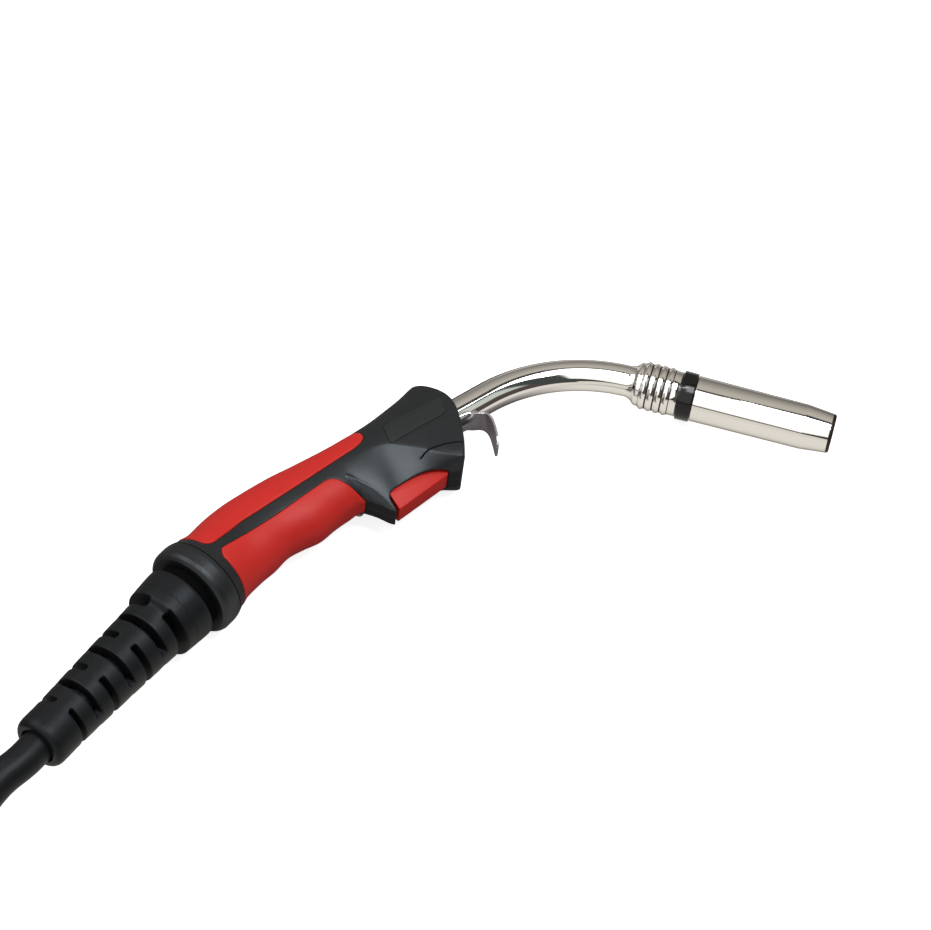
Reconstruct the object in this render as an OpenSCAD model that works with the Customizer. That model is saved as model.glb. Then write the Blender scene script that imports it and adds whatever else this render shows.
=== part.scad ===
// MIG welding torch, gas cooled, with a bent neck, a two-shell handle and a coaxial cable.
// The torch lies on its left side. +X runs from the swivel ball at the rear of the handle to
// the nozzle's mouth, +Y to the top of the handle, +Z to its right side. Millimetres.

/* [Nozzle] */
// Length of the gas nozzle in front of the insulating ring
nozzle_len = 84; // [78:0.5:90]
// Outside diameter of the gas nozzle at the ring
nozzle_d = 27.4; // [26.8:0.1:28.2]
// Outside diameter at the mouth
mouth_d = 23.2; // [22.4:0.1:24.4]
// Bore at the mouth
mouth_bore = 19; // [16:0.5:20]
// Length of the cone before the mouth
cone_len = 17.6; // [14:0.2:22]
// How far the contact tip ends inside the mouth
tip_recess = 4; // [3:0.5:6]
// Wire diameter that the contact tip is drilled for
wire_d = 1.2; // [0.8:0.2:1.6]
// Diameter of the contact tip
tip_d = 10; // [9:0.5:11]

/* [Neck] */
// Outside diameter of the bent neck tube
neck_d = 18.6; // [18:0.1:19]
// Wall of the neck tube
neck_wall = 1; // [0.8:0.1:1.2]
// Radius of the bend
bend_r = 101; // [97:1:105]
// Angle that the neck turns through
bend_deg = 52.1; // [48:0.5:55]
// Length of the straight tube inside the handle
neck_in = 71.95; // [70:0.05:75]
// Length of the straight tube between the handle and the bend
neck_reach = 33.05; // [30:0.05:36]
// Diameter over the neck's ribs
rib_d = 28.6; // [28:0.1:29.4]
// Distance from one rib to the next
rib_pitch = 4.64; // [4.4:0.02:4.8]
// Number of ribs
rib_count = 5; // [4:1:5]
// Diameter of the black insulating ring
ring_d = 29.4; // [29:0.1:30]
// Length of the black insulating ring
ring_len = 9; // [7:0.5:11]

/* [Handle] */
// Width of the grip, from side to side
grip_w = 36; // [35:0.5:38]
// Width of the head at the trigger
head_w = 36; // [35:0.5:38]
// Width of the flat underside at the trigger
sole_w = 14; // [13:0.5:15]
// Wall of the shells
shell_wall = 2.6; // [2.2:0.1:3]
// How far the soft grips stand out of the shells
grip_proud = 0.5; // [0.3:0.1:0.8]
// How deep the soft grips are let into the shells
grip_depth = 1.6; // [1.2:0.1:1.8]
// Angle of the handle's rear end to the X axis
rear_deg = 33.2; // [32:0.2:34.5]
// Angle of the neck inside the handle to the X axis
neck_deg = 18; // [17:0.2:19]

/* [Trigger] */
// Width of the trigger's underside
trigger_w = 12.2; // [11.5:0.1:13]
// Angle that the trigger swings through
trigger_deg = 3.5; // [2.5:0.25:4]
// Diameter of the trigger's pin
trigger_pin_d = 4; // [3.5:0.1:4.5]

/* [Hook] */
// Width of the hook's strip
hook_w = 17; // [15:0.5:18]
// Thickness of the hook's strip
hook_t = 1.2; // [1:0.1:1.4]

/* [Swivel] */
// Diameter of the swivel ball
ball_d = 45; // [44:0.2:46]
// Outside diameter of the locking ring
collar_d = 56.6; // [56:0.2:58]
// How far the swivel tilts each way
swivel_deg = 10; // [6:1:11]

/* [Cable] */
// Outside diameter of the cable
cable_d = 20.5; // [19.5:0.1:20.8]
// Length of the slotted cable support
support_len = 127; // [122:1:132]
// Diameter of the support where it meets the swivel
support_d = 47.2; // [46:0.2:48]
// Radius of the coil, at the cable's centre in its outer turn
coil_r = 135; // [132:1:140]

/* [Plug] */
// Diameter of the coupling nut
plug_nut_d = 54; // [52:0.5:58]
// Diameter of the gas and current spigot
spigot_d = 10; // [9.6:0.1:10.4]
// Travel of the control pins
pin_travel = 1.5; // [1:0.25:2]

/* [Hidden] */
$fn = 64;

// Colours
BLACK = "#232425";
DARK = "#2f3133";
RED = "#cc2b22";
CHROME = "#d3d1cd";
STEEL = "#a9adb3";
BRASS = "#c8a24a";
COPPER = "#b8703f";
WHITE = "#e6e2d8";

// Clearances
fit = 0.05;
gap = 0.1;
free = 0.3;
cut = 0.5;

// ---- Geometry helpers ----
function dir(a) = [cos(a), sin(a)];
function norm_to(v) = v / norm(v);
function smooth(t) = t * t * (3 - 2 * t);
function clamped(v, i) = v[max(0, min(len(v) - 1, i))];
function catmull(a, b, c, d, t) =
    0.5 * (2 * b + (c - a) * t + (2 * a - 5 * b + 4 * c - d) * t * t + (3 * b - a - 3 * c + d) * t * t * t);
// A row of numbers at every 1/n of the way from each row of v to the next.
function refined(v, n) = [
    for (i = [0:len(v) - 2]) for (k = [0:n - 1])
        catmull(clamped(v, i - 1), v[i], v[i + 1], clamped(v, i + 2), k / n),
    v[len(v) - 1]];

// A closed body through rings of points, with a flat face on each end.
module loft(rings) {
    n = len(rings);
    m = len(rings[0]);
    sides = [for (i = [0:n - 2]) for (j = [0:m - 1])
        let (a = i * m + j, b = i * m + (j + 1) % m)
        each [[a, b, b + m], [a, b + m, a + m]]];
    first = [for (j = [1:m - 2]) [0, j + 1, j]];
    last = [for (j = [1:m - 2]) [(n - 1) * m, (n - 1) * m + j, (n - 1) * m + j + 1]];
    polyhedron([for (r = rings) each r], concat(sides, first, last));
}

// As loft, for a thin strip whose ring goes out along one face and back along the other.
module strip_loft(rings) {
    n = len(rings);
    m = len(rings[0]);
    sides = [for (i = [0:n - 2]) for (j = [0:m - 1])
        let (a = i * m + j, b = i * m + (j + 1) % m)
        each [[a, b, b + m], [a, b + m, a + m]]];
    first = [for (j = [0:m / 2 - 2]) each [[j, m - 1 - j, m - 2 - j], [j, m - 2 - j, j + 1]]];
    last = [for (f = first) [(n - 1) * m + f[0], (n - 1) * m + f[2], (n - 1) * m + f[1]]];
    polyhedron([for (r = rings) each r], concat(sides, first, last));
}

// A round tube's ring of m points about the point c, square to the direction t.
function tube_ring(c, t, r, m) =
    let (s = norm_to(cross(t, [0, 0, 1])), u = cross(s, t))
    [for (k = [0:m - 1]) c + r * (cos(90 + 360 * k / m) * s + sin(90 + 360 * k / m) * u)];
function tube_rings(p, r, m) = [for (i = [0:len(p) - 1])
    tube_ring(p[i], norm_to(clamped(p, i + 1) - clamped(p, i - 1)), r, m)];

// ---- Where things are ----
// The head's front section: the top x, y and the underside x, y. The neck leaves the head there.
HEAD_FRONT = [173.0, 101.0, 170.0, 28.6];
neck_height = 42.67;
neck_mouth = let (top = [HEAD_FRONT[0], HEAD_FRONT[1]], low = [HEAD_FRONT[2], HEAD_FRONT[3]])
    low + neck_height * norm_to(top - low);
neck_straight = neck_in + neck_reach;
// Bend of the neck: it starts where the straight tube ends, above and in front of the handle.
bend_start = neck_mouth + neck_reach * dir(neck_deg);
out_deg = neck_deg - bend_deg;
bend_centre = bend_start - bend_r * dir(neck_deg + 90);
bend_end = bend_centre + bend_r * dir(out_deg + 90);
// Distances along the nozzle's axis, from the end of the bend.
head_from = -6;
first_rib = 3.3;
ring_from = 28.9;
nozzle_from = ring_from + ring_len;
nozzle_to = nozzle_from + nozzle_len;
tip_to = nozzle_to - tip_recess;
tip_len = 36;
tip_from = tip_to - tip_len;
holder_from = 52;
sleeve_to = 58;
clip_at = 49;
// Radii
neck_r = neck_d / 2;
bore_r = neck_r - neck_wall;
core_r = 6.2;
core_bore = 3.4;
liner_r = 2.3;
nozzle_r = nozzle_d / 2;
nozzle_bore = nozzle_r - 1.6;
sleeve_r = nozzle_bore - fit;
head_spigot = sleeve_r - 1.3;
cable_r = cable_d / 2;
ball_r = ball_d / 2;
seat_r = ball_r + 0.4;
collar_r = collar_d / 2;
support_r = support_d / 2;
// Places along the handle's rear axis, from the ball's centre, forwards positive.
collar_front = 3.7;
collar_rear = -9.4;
shell_rear = collar_front + free;
collar_in = 25.5;
seat_depth = 14;
support_front = -16.2;
support_rear = support_front - support_len;
cable_joint = -100;
swivel_r = 14;
swivel_gap = 0.3;
// The cable inside the handle bends from the rear axis to the neck's axis.
neck_foot = bend_start - neck_straight * dir(neck_deg);
crimp_len = 28;
lines_meet = let (a = dir(rear_deg), b = dir(neck_deg))
    a * ((bend_start[0] * b[1] - bend_start[1] * b[0]) / (a[0] * b[1] - a[1] * b[0]));
cable_bend_r = 200;
cable_turn = rear_deg - neck_deg;
cable_lead = cable_bend_r * tan(cable_turn / 2);

// The torch lies on the locking ring and on the nozzle, where its cone starts.
cone_r = nozzle_r - 0.3;
touch = bend_end + (nozzle_to - cone_len) * dir(out_deg);
lie_deg = asin((collar_r - cone_r) / touch[0]);
lift = collar_r / cos(lie_deg);
// The outermost points of the torch: its mouth, the top of its head and the support's rear rim.
mouth_rim = mouth_d / 2 - 0.6;
rear_rim = 14.8;
rim_back = support_rear + 0.8;
head_top = 100.2;
front_x = (bend_end + nozzle_to * dir(out_deg))[0] - mouth_rim * sin(out_deg);
rear_x = rim_back * cos(rear_deg) - rear_rim * sin(rear_deg);
rear_y = rim_back * sin(rear_deg) - rear_rim * cos(rear_deg);
origin_x = cos(lie_deg) * (front_x + rear_x) / 2;
origin_y = (head_top + rear_y) / 2;

module lay() { translate([-origin_x, -origin_y, lift]) rotate([0, lie_deg, 0]) children(); }
// Local Z along the nozzle's axis, from the end of the bend.
module at_front() {
    lay() translate([bend_end[0], bend_end[1], 0]) rotate([0, 0, out_deg]) rotate([0, 90, 0]) children();
}
// Local Z along the neck inside the handle, from the start of the bend.
module along_neck() {
    translate([bend_start[0], bend_start[1], 0]) rotate([0, 0, neck_deg]) rotate([0, 90, 0]) children();
}
// Local Z along the handle's rear axis, from the ball's centre.
module along_rear() { rotate([0, 0, rear_deg]) rotate([0, 90, 0]) children(); }
module at_rear() { lay() along_rear() children(); }

// A bent rod of radius r that runs into the straight rods at its two ends, which are a hair
// thicker. It turns through the angle a from the angle start, about the point c.
hair = 0.02;
into = 0.4;
module bend(c, turn_r, start, a, r) {
    translate([c[0], c[1], 0]) rotate([0, 0, start - into])
        rotate_extrude(angle = a + 2 * into) translate([turn_r, 0]) circle(r);
}
// A rod of radius r along the neck, from back mm before the bend to front mm after it.
module neck_rod(r, back, front) {
    along_neck() translate([0, 0, -back]) cylinder(r = r + hair, h = back);
    bend(bend_centre, bend_r, out_deg + 90, bend_deg, r);
    translate([bend_end[0], bend_end[1], 0]) rotate([0, 0, out_deg]) rotate([0, 90, 0])
        cylinder(r = r + hair, h = front);
}

// A solid of revolution about Z from [distance, radius] pairs.
module turned(p) { rotate_extrude() polygon([for (q = p) [q[1], q[0]]]); }
module pipe(r, bore, from, to) {
    difference() {
        translate([0, 0, from]) cylinder(r = r, h = to - from);
        translate([0, 0, from - cut]) cylinder(r = bore, h = to - from + 2 * cut);
    }
}
module hexagon(flats, h) { cylinder(r = flats / sqrt(3), h = h, $fn = 6); }

// ---- Torch front end ----
module gas_nozzle() color(CHROME) at_front() difference() {
    turned([[nozzle_from, 0], [nozzle_from, nozzle_r - 0.4], [nozzle_from + 0.6, nozzle_r],
        [nozzle_to - cone_len, cone_r], [nozzle_to - 0.8, mouth_d / 2], [nozzle_to, mouth_rim],
        [nozzle_to, 0]]);
    turned([[nozzle_from - cut, 0], [nozzle_from - cut, nozzle_bore], [nozzle_to - cone_len - 2, nozzle_bore],
        [nozzle_to - 8, mouth_bore / 2], [nozzle_to + cut, mouth_bore / 2], [nozzle_to + cut, 0]]);
}

module insulating_ring() color(BLACK) at_front() difference() {
    turned([[ring_from + gap, 0], [ring_from + gap, ring_d / 2 - 0.5], [ring_from + 0.8, ring_d / 2],
        [nozzle_from - 1, ring_d / 2], [nozzle_from - free, ring_d / 2 - 0.6],
        [nozzle_from - free, sleeve_r], [sleeve_to, sleeve_r], [sleeve_to, 0]]);
    translate([0, 0, ring_from - cut]) cylinder(r = head_spigot + gap, h = sleeve_to);
    clip_groove(head_spigot + gap + 0.4, sleeve_r + cut, 1.7);
}

// The clip's groove, and the clip in it, from radius a to radius b.
module clip_groove(a, b, w) {
    translate([0, 0, clip_at - w / 2]) difference() {
        cylinder(r = b, h = w);
        translate([0, 0, -cut]) cylinder(r = a, h = w + 2 * cut);
    }
}
module nozzle_clip() color(STEEL) at_front()
    translate([0, 0, clip_at - 0.7]) rotate_extrude(angle = 320)
        translate([head_spigot + gap + 0.45, 0]) square([sleeve_r - head_spigot - gap - 0.55, 1.4]);

module contact_tip() color(COPPER) at_front() difference() {
    turned([[tip_from, 0], [tip_from, 3.2], [tip_from + 0.8, 3.9], [tip_from + 8, 3.9],
        [tip_from + 8 + gap, tip_d / 2], [tip_to - 7, tip_d / 2], [tip_to - 0.6, 2.9], [tip_to, 2.4],
        [tip_to, 0]]);
    translate([0, 0, tip_from - cut]) cylinder(d = wire_d, h = tip_len + 2 * cut);
    translate([0, 0, tip_from - cut]) cylinder(r1 = 1.9, r2 = wire_d / 2, h = 6);
}

module tip_holder() color(BRASS) at_front() difference() {
    union() {
        translate([0, 0, holder_from + gap]) cylinder(r = 7.2, h = 12);
        translate([0, 0, holder_from + gap]) cylinder(r = 6.2, h = tip_from + 8 - holder_from - gap);
    }
    translate([0, 0, tip_from - 2]) cylinder(r = 4, h = 30);
    translate([0, 0, holder_from - cut]) cylinder(r = liner_r + gap, h = 60);
}

module gas_diffuser() color(WHITE) at_front() difference() {
    turned([[holder_from + 12.5, 0], [holder_from + 12.5, 8.8], [holder_from + 13, 9.3],
        [holder_from + 24, 9.3], [holder_from + 26, 7.8], [holder_from + 26, 0]]);
    translate([0, 0, holder_from]) cylinder(r = 6.2 + gap, h = 60);
    for (a = [0:45:315]) rotate([0, 0, a]) translate([0, 0, holder_from + 18]) rotate([0, 90, 0])
        cylinder(d = 2.4, h = 20);
}

// ---- Neck ----
function rib_profile() = [for (i = [0:rib_count - 1]) let (c = first_rib + i * rib_pitch)
    each [[c - 1.5, rib_d / 2 - 1.1], [c - 0.8, rib_d / 2 - 0.25], [c, rib_d / 2],
        [c + 0.8, rib_d / 2 - 0.25], [c + 1.5, rib_d / 2 - 1.1]]];

module neck_head() color(CHROME) at_front() difference() {
    turned(concat([[head_from, 0], [head_from, neck_r + 0.35], [head_from + 2.2, neck_r + 1],
        [head_from + 4.8, neck_r + 2.3], [head_from + 7, rib_d / 2 - 1.3]], rib_profile(),
        [[ring_from, rib_d / 2 - 0.6], [ring_from, head_spigot], [holder_from, head_spigot],
        [holder_from, 0]]));
    // The neck tube ends in a socket, wider where the tube still bends, and its core goes on through.
    translate([0, 0, head_from - cut]) cylinder(r = neck_r + 0.25, h = cut - head_from);
    translate([0, 0, head_from - cut]) cylinder(r = neck_r + hair + fit, h = 8 - head_from + cut);
    translate([0, 0, head_from - cut]) cylinder(r = core_r + gap, h = holder_from + 20);
}

module neck_tube() color(CHROME) lay() difference() {
    neck_rod(neck_r, neck_straight - 14, 7.8);
    neck_rod(bore_r, neck_straight, 20);
}

module neck_insulation() color(WHITE) lay() difference() {
    neck_rod(bore_r - gap, neck_straight - 16, 7.5);
    neck_rod(core_r + gap, neck_straight, 20);
}

module neck_core() color(COPPER) lay() difference() {
    neck_rod(core_r, neck_straight, holder_from - gap);
    neck_rod(core_bore, neck_straight + 5, holder_from + 5);
}

module wire_liner() color(STEEL) lay() difference() {
    neck_rod(liner_r, neck_straight + crimp_len - 2, tip_from - 3);
    neck_rod(liner_r - 1.1, neck_straight + crimp_len + 2, tip_from + 2);
}

module neck_nut() color(BRASS) lay() along_neck() translate([0, 0, -neck_straight]) difference() {
    hexagon(22, neck_straight + nut_front);
    translate([0, 0, -cut]) cylinder(r = core_r + gap, h = 20);
}

module cable_crimp() color(COPPER) lay() along_neck() translate([0, 0, -neck_straight - crimp_len]) difference() {
    union() {
        cylinder(r = 7.6, h = crimp_len - gap);
        translate([0, 0, crimp_len - 6]) cylinder(r = 9.6, h = 6 - gap);
    }
    translate([0, 0, -cut]) cylinder(r = liner_r + gap, h = crimp_len + 2 * cut);
}

// The cable runs straight out of the swivel, bends to the neck's direction and ends in its crimp.
cable_path = let (c = lines_meet - cable_lead * dir(rear_deg) + cable_bend_r * dir(rear_deg - 90))
    concat([for (u = [5, 20]) u * dir(rear_deg)],
    [for (i = [0:5]) c + cable_bend_r * dir(rear_deg + 90 - cable_turn * i / 5)],
    [neck_foot - (crimp_len + 8) * dir(neck_deg), neck_foot - (crimp_len + gap) * dir(neck_deg)]);
module handle_cable() color(BLACK) lay() difference() {
    loft(tube_rings([for (p = cable_path) [p[0], p[1], 0]], cable_r, 16));
    sphere(swivel_r + swivel_gap);
}

// ---- Handle ----
// Sections of the handle, rear to front: the top of the section x, y, its underside x, y, half
// its width, the height of its widest point (-1 underside, 1 top), the fullness of its upper
// and of its lower curve, and half the width of its flat underside.
gw = grip_w / 2;
hw = head_w / 2;
sw = sole_w / 2;
rear_r = 27.6;
function rear_section(u, r) = let (c = u * dir(rear_deg), n = r * dir(rear_deg + 90))
    [c[0] + n[0], c[1] + n[1], c[0] - n[0], c[1] - n[1], r, 0, 2, 2, 0.2];
SECTIONS = [
    rear_section(shell_rear, rear_r), rear_section(10, 25.6), rear_section(17, 24),
    [14.0, 38.8, 38.0, -4.3, gw + 2.2, 0.00, 2.1, 2.1, 0.2],
    [27.5, 46.2, 47.2, 0.4, gw + 0.8, 0.00, 2.2, 2.2, 0.2],
    [40.1, 51.4, 57.4, 6.9, gw + 0.2, 0.00, 2.2, 2.2, 0.2],
    [51.0, 55.4, 68.0, 10.0, gw, 0.00, 2.2, 2.2, 0.2],
    [62.0, 59.0, 79.0, 12.6, gw, 0.00, 2.2, 2.2, 0.3],
    [72.6, 61.8, 89.7, 18.4, gw, 0.00, 2.2, 2.2, 0.5],
    [83.2, 64.6, 99.5, 22.6, gw, 0.02, 2.3, 2.1, 3.0],
    [94.5, 68.0, 107.5, 24.4, hw, 0.08, 2.3, 1.8, sw + 2.5],
    [105.1, 71.5, 115.0, 20.8, hw, 0.18, 2.4, 1.5, sw + 1.4],
    [116.5, 75.8, 123.4, 13.8, hw, 0.28, 2.4, 1.35, sw],
    [127.8, 80.3, 131.0, 17.2, hw, 0.18, 2.4, 1.3, sw],
    [140.0, 86.4, 140.0, 21.8, hw, -0.14, 2.4, 1.3, sw],
    [152.0, 93.0, 150.5, 26.6, hw, -0.50, 2.4, 1.3, sw],
    [163.0, 98.8, 160.5, 29.6, hw - 0.4, -0.78, 2.4, 1.3, sw],
    concat(HEAD_FRONT, [hw - 1.0, -0.88, 2.4, 1.3, sw]),
    [188.0, 102.0, 185.0, 27.0, hw - 1.6, -0.90, 2.4, 1.3, sw]];
SECTION_STEPS = 2;
ARC_STEPS = 6;

// Right half of one section, drawn in by inset.
function half_section(s, inset) =
    let (top = [s[0], s[1]], low = [s[2], s[3]], mid = (top + low) / 2, up = norm_to(top - low),
        h = norm(top - low) / 2 - inset, w = s[4] - inset, c = s[5] * h,
        f = max(0.1, min(s[8], w) - 0.5 * inset), nt = 2 / s[6], nb = 2 / s[7],
        lower = [for (k = [ARC_STEPS:-1:1]) let (a = 90 * k / ARC_STEPS)
            [c - (h + c) * pow(sin(a), nb), f + (w - f) * pow(max(0, cos(a)), nb)]],
        upper = [for (k = [0:ARC_STEPS]) let (a = 90 * k / ARC_STEPS)
            [c + (h - c) * pow(sin(a), nt), w * pow(max(0, cos(a)), nt)]])
    [for (q = concat([[-h, 0]], lower, upper)) [mid[0] + up[0] * q[0], mid[1] + up[1] * q[0], q[1]]];

module half_body(inset) {
    loft([for (s = refined(SECTIONS, SECTION_STEPS)) half_section(s, inset)]);
}

// A flat outline in the handle's middle plane, thickened from z = from to z = to.
far = 40;
module slab(outline, from = -far, to = far) {
    translate([0, 0, from]) linear_extrude(to - from) polygon(outline);
}

// The curved front of the head, in side view.
FRONT = [[-60, -80], [158, -80], [164, 25], [167, 27.6], [169.4, 31.4], [171.8, 37.4], [174.4, 45],
    [176.8, 54], [178.6, 62], [180, 71], [180.6, 79], [179.8, 85.6], [177.6, 92], [174.6, 97],
    [171, 99.8], [167, head_top + 0.1], [160, 104], [150, 150], [-60, 150]];
front_wall = 3.2;

// Outlines of the soft grips and of the name plate, in side view.
function rear_line(u, v) = u * dir(rear_deg) + v * dir(rear_deg + 90);
PALM = [rear_line(13, -5), rear_line(14.5, -3.6), [27.6, 12.0], [48.6, 21.0], [69.8, 30.3], [86.5, 37.6],
    [90.5, 38.6], [94.4, 37.2], [98.1, 32.8], [101.6, 27.4], [104.4, 23.4], [106.4, 21], [112, -30],
    [40, -60], rear_line(10.6, -50), rear_line(10.6, -8)];
TOP_STRIP = [rear_line(9.6, 50), rear_line(9.6, 7), rear_line(11, 4.2), rear_line(14, 2.2), [31.1, 22.6],
    [52.0, 31.4], [73.0, 40.0], [93.9, 48.4], [111, 55.4], [115.6, 57.8], [118.6, 61.6], [119.9, 67],
    [119.6, 74], [115, 95], [60, 110]];
PLATE = [[134.6, 64.4], [134.4, 55.6], [136, 54.8], [170, 67.2], [171.4, 68.6], [171.2, 76.4],
    [169.6, 77.2], [135.6, 65.8]];
plate_proud = 0.2;
plate_depth = 0.9;

// Around the trigger: the part cut from the shells below the arch, and the room above it.
ARCH = [[125.2, 8], [121.9, 23.6], [126.6, 26.6], [133.6, 29.3], [140, 31.2], [146, 32.3], [151.4, 32.5],
    [156, 32.1], [160, 31.5], [162.2, 30.6], [162.8, 8]];
ROOM = [[125.2, 12], [121.9, 23.6], [121.4, 27.1], [118.2, 27.1], [117.8, 34.5], [131, 39.4], [141, 43],
    [150, 46.2], [158, 46.8], [162.8, 43.4], [162.8, 12]];
room_w = 9.9;
trigger_pivot = [156, 38.4];
switch_at = [141.5, 45.4];
switch_deg = 20;
spring_at = [127.2, 33.7];

spring_top = 41.2;
nut_front = -neck_straight + 13;

screw_places = [[31.2, 37.7], [77, 55.8], [151, 83.4], [108.5, 32.2], [167.6, 47]];
screw_r = 1.5;
screw_head_r = 2.8;
screw_head_z = -11.5;
boss_r = 3.6;

// The shape of the hook's seat under the neck, as thick as t, half as wide as a degrees.
module saddle(r_in, r_out, a, back, front) {
    along_neck() translate([0, 0, -back]) rotate([0, 0, 90 + 180 - a])
        rotate_extrude(angle = 2 * a) translate([r_in, 0]) square([r_out - r_in, back - front]);
}

// Everything inside a half shell that stands up from its wall, for the right side.
module half_inside() {
    for (p = screw_places) translate([p[0], p[1], 0]) cylinder(r = boss_r, h = 30, $fn = 20);
    translate([trigger_pivot[0], trigger_pivot[1], room_w]) cylinder(r = 4.6, h = 20, $fn = 20);
    // Walls that hold the neck: in front of its nut, over the trigger, and at the hook's end.
    along_neck() translate([-far, -6, nut_front - 1.5]) cube([2 * far, 50, 5]);
    along_neck() translate([-far, -6, -neck_reach - 46]) cube([2 * far, 50, 3]);
    along_neck() translate([-far, -14, -neck_reach - 16]) cube([2 * far, 60, 3]);
    // Ledge over the trigger's spring.
    slab([[123.5, spring_top], [130.5, spring_top], [130.5, spring_top + 2.6], [123.5, spring_top + 2.6]], 0, 20);
    // Posts of the switch.
    for (s = [-1, 1]) translate([switch_at[0], switch_at[1], 0]) rotate([0, 0, switch_deg])
        translate([4.8 * s, 1.6, 0]) cylinder(r = 1.1, h = 20, $fn = 16);
}

// The right half of the handle's casing, without its exact bores.
module half_case() {
    resize([0, 0, 0]) union() {
        difference() {
            intersection() {
                half_body(0);
                slab(FRONT, -1, far);
            }
            // Hollow inside
            difference() {
                intersection() {
                    half_body(shell_wall);
                    translate([-front_wall, 0, 0]) slab(FRONT, -1, far);
                }
                half_inside();
                along_rear() translate([-60, -60, -60]) cube([120, 120, 60 + seat_depth]);
            }
            // Beds of the grips and of the plate
            intersection() {
                difference() {
                    half_body(-2);
                    half_body(grip_depth + gap);
                }
                union() {
                    slab(PALM, -1, far);
                    slab(TOP_STRIP, -1, far);
                }
            }
            intersection() {
                difference() {
                    half_body(-2);
                    half_body(plate_depth + gap);
                }
                slab(PLATE, -1, far);
            }
            slab(ARCH, -1, far);
            slab(ROOM, -1, room_w);
        }
        // Collar that the locking ring goes over
        intersection() {
            along_rear() translate([0, 0, -2]) cylinder(r = collar_in, h = shell_rear + 3, $fn = 72);
            translate([-50, -50, 0]) cube([100, 100, 40]);
        }
    }
}

// Bores in both shells, and the seat that the ball turns in.
module case_bores() {
    along_rear() {
        sphere(seat_r);
        cylinder(r = cable_r + 6, h = seat_depth + 1);
    }
    along_neck() translate([0, 0, -neck_straight - 4]) cylinder(r = neck_r + fit, h = neck_straight + 20);
    along_neck() translate([0, 0, -neck_straight - 4]) cylinder(r = 13.2, h = nut_front + 0.3 + neck_straight + 4);
    saddle(neck_r - 1, neck_r + 0.4 + hook_t + 0.3, 66, neck_reach + HOOK_BACK + 2, 0);
    translate([trigger_pivot[0], trigger_pivot[1], -12.2]) cylinder(d = trigger_pin_d + 2 * fit, h = 24.4);
}

module right_shell() color(BLACK) lay() difference() {
    half_case();
    case_bores();
    for (p = screw_places) translate([p[0], p[1], -cut]) cylinder(r = screw_r + fit, h = 9 + cut);
}

module left_shell() color(BLACK) lay() difference() {
    mirror([0, 0, 1]) half_case();
    case_bores();
    for (p = screw_places) translate([p[0], p[1], 0]) {
        translate([0, 0, -far]) cylinder(r = screw_r + 0.2, h = far + 1);
        translate([0, 0, -far]) cylinder(r = screw_head_r + 0.3, h = far + screw_head_z);
    }
}

// A soft grip or plate on the right half: the skin of the body inside an outline.
module skin(outline, proud, depth) {
    resize([0, 0, 0]) intersection() {
        difference() {
            half_body(-proud);
            half_body(depth);
        }
        slab(outline, 0, far);
    }
}
module right_top_grip() color(RED) lay() skin(TOP_STRIP, grip_proud, grip_depth);
module left_top_grip() color(RED) lay() difference() {
    mirror([0, 0, 1]) skin(TOP_STRIP, grip_proud, grip_depth);
    for (i = [0, 1]) translate([screw_places[i][0], screw_places[i][1], -far]) cylinder(r = screw_head_r + 0.3, h = far);
}
module right_palm_grip() color(RED) lay() skin(PALM, grip_proud, grip_depth);
module left_palm_grip() color(RED) lay() mirror([0, 0, 1]) skin(PALM, grip_proud, grip_depth);
module right_name_plate() color(DARK) lay() skin(PLATE, plate_proud, plate_depth);
module left_name_plate() color(DARK) lay() mirror([0, 0, 1]) skin(PLATE, plate_proud, plate_depth);

module shell_screws() color(STEEL) lay() for (p = screw_places) translate([p[0], p[1], 0]) difference() {
    union() {
        translate([0, 0, screw_head_z]) cylinder(r = screw_r, h = 8 - screw_head_z);
        translate([0, 0, screw_head_z - 2.2]) cylinder(r = screw_head_r, h = 2.2);
    }
    translate([0, 0, screw_head_z - 2.2 - cut]) cylinder(r = 1.3, h = 1.2 + cut, $fn = 6);
}

// ---- Trigger and switch ----
TRIGGER = [[126.1, 15.0], [160.3, 30.4], [161.6, 31.6], [161.9, 33.2], [161.9, 38.6], [160.6, 42],
    [157.4, 43.9], [153, 42.7], [150, 41.0], [123.6, 31.4], [119.6, 30.2], [119.2, 28.6], [119.6, 27.4],
    [122.9, 27.4], [123.1, 24.4]];
trigger_side = 9.3;

module trigger() color(RED) lay() difference() {
    slab(TRIGGER, -trigger_side, trigger_side);
    // The sides slope in towards the underside.
    for (s = [0, 1]) mirror([0, 0, s]) translate([126.1, 15, trigger_w / 2]) rotate([0, 0, 24.3])
        rotate([-17.5, 0, 0]) translate([-20, -40, 0]) cube([80, 80, 30]);
    translate([trigger_pivot[0], trigger_pivot[1], -20]) cylinder(d = trigger_pin_d + 2 * fit, h = 40);
}

module trigger_pin() color(STEEL) lay()
    translate([trigger_pivot[0], trigger_pivot[1], -12]) cylinder(d = trigger_pin_d, h = 24);

spring_h = spring_top - spring_at[1] - gap;
spring_turns = 4;
module trigger_spring() color(STEEL) lay() translate([spring_at[0], spring_at[1], 0]) rotate([-90, 0, 0])
    loft([for (i = [0:spring_turns * 8]) let (a = 45 * i, z = 0.5 + (spring_h - 1) * i / (spring_turns * 8))
        [for (k = [0:5]) let (b = 60 * k, r = 2.4 + 0.35 * cos(b))
            [r * cos(a), r * sin(a), z + 0.35 * sin(b)]]]);

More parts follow.
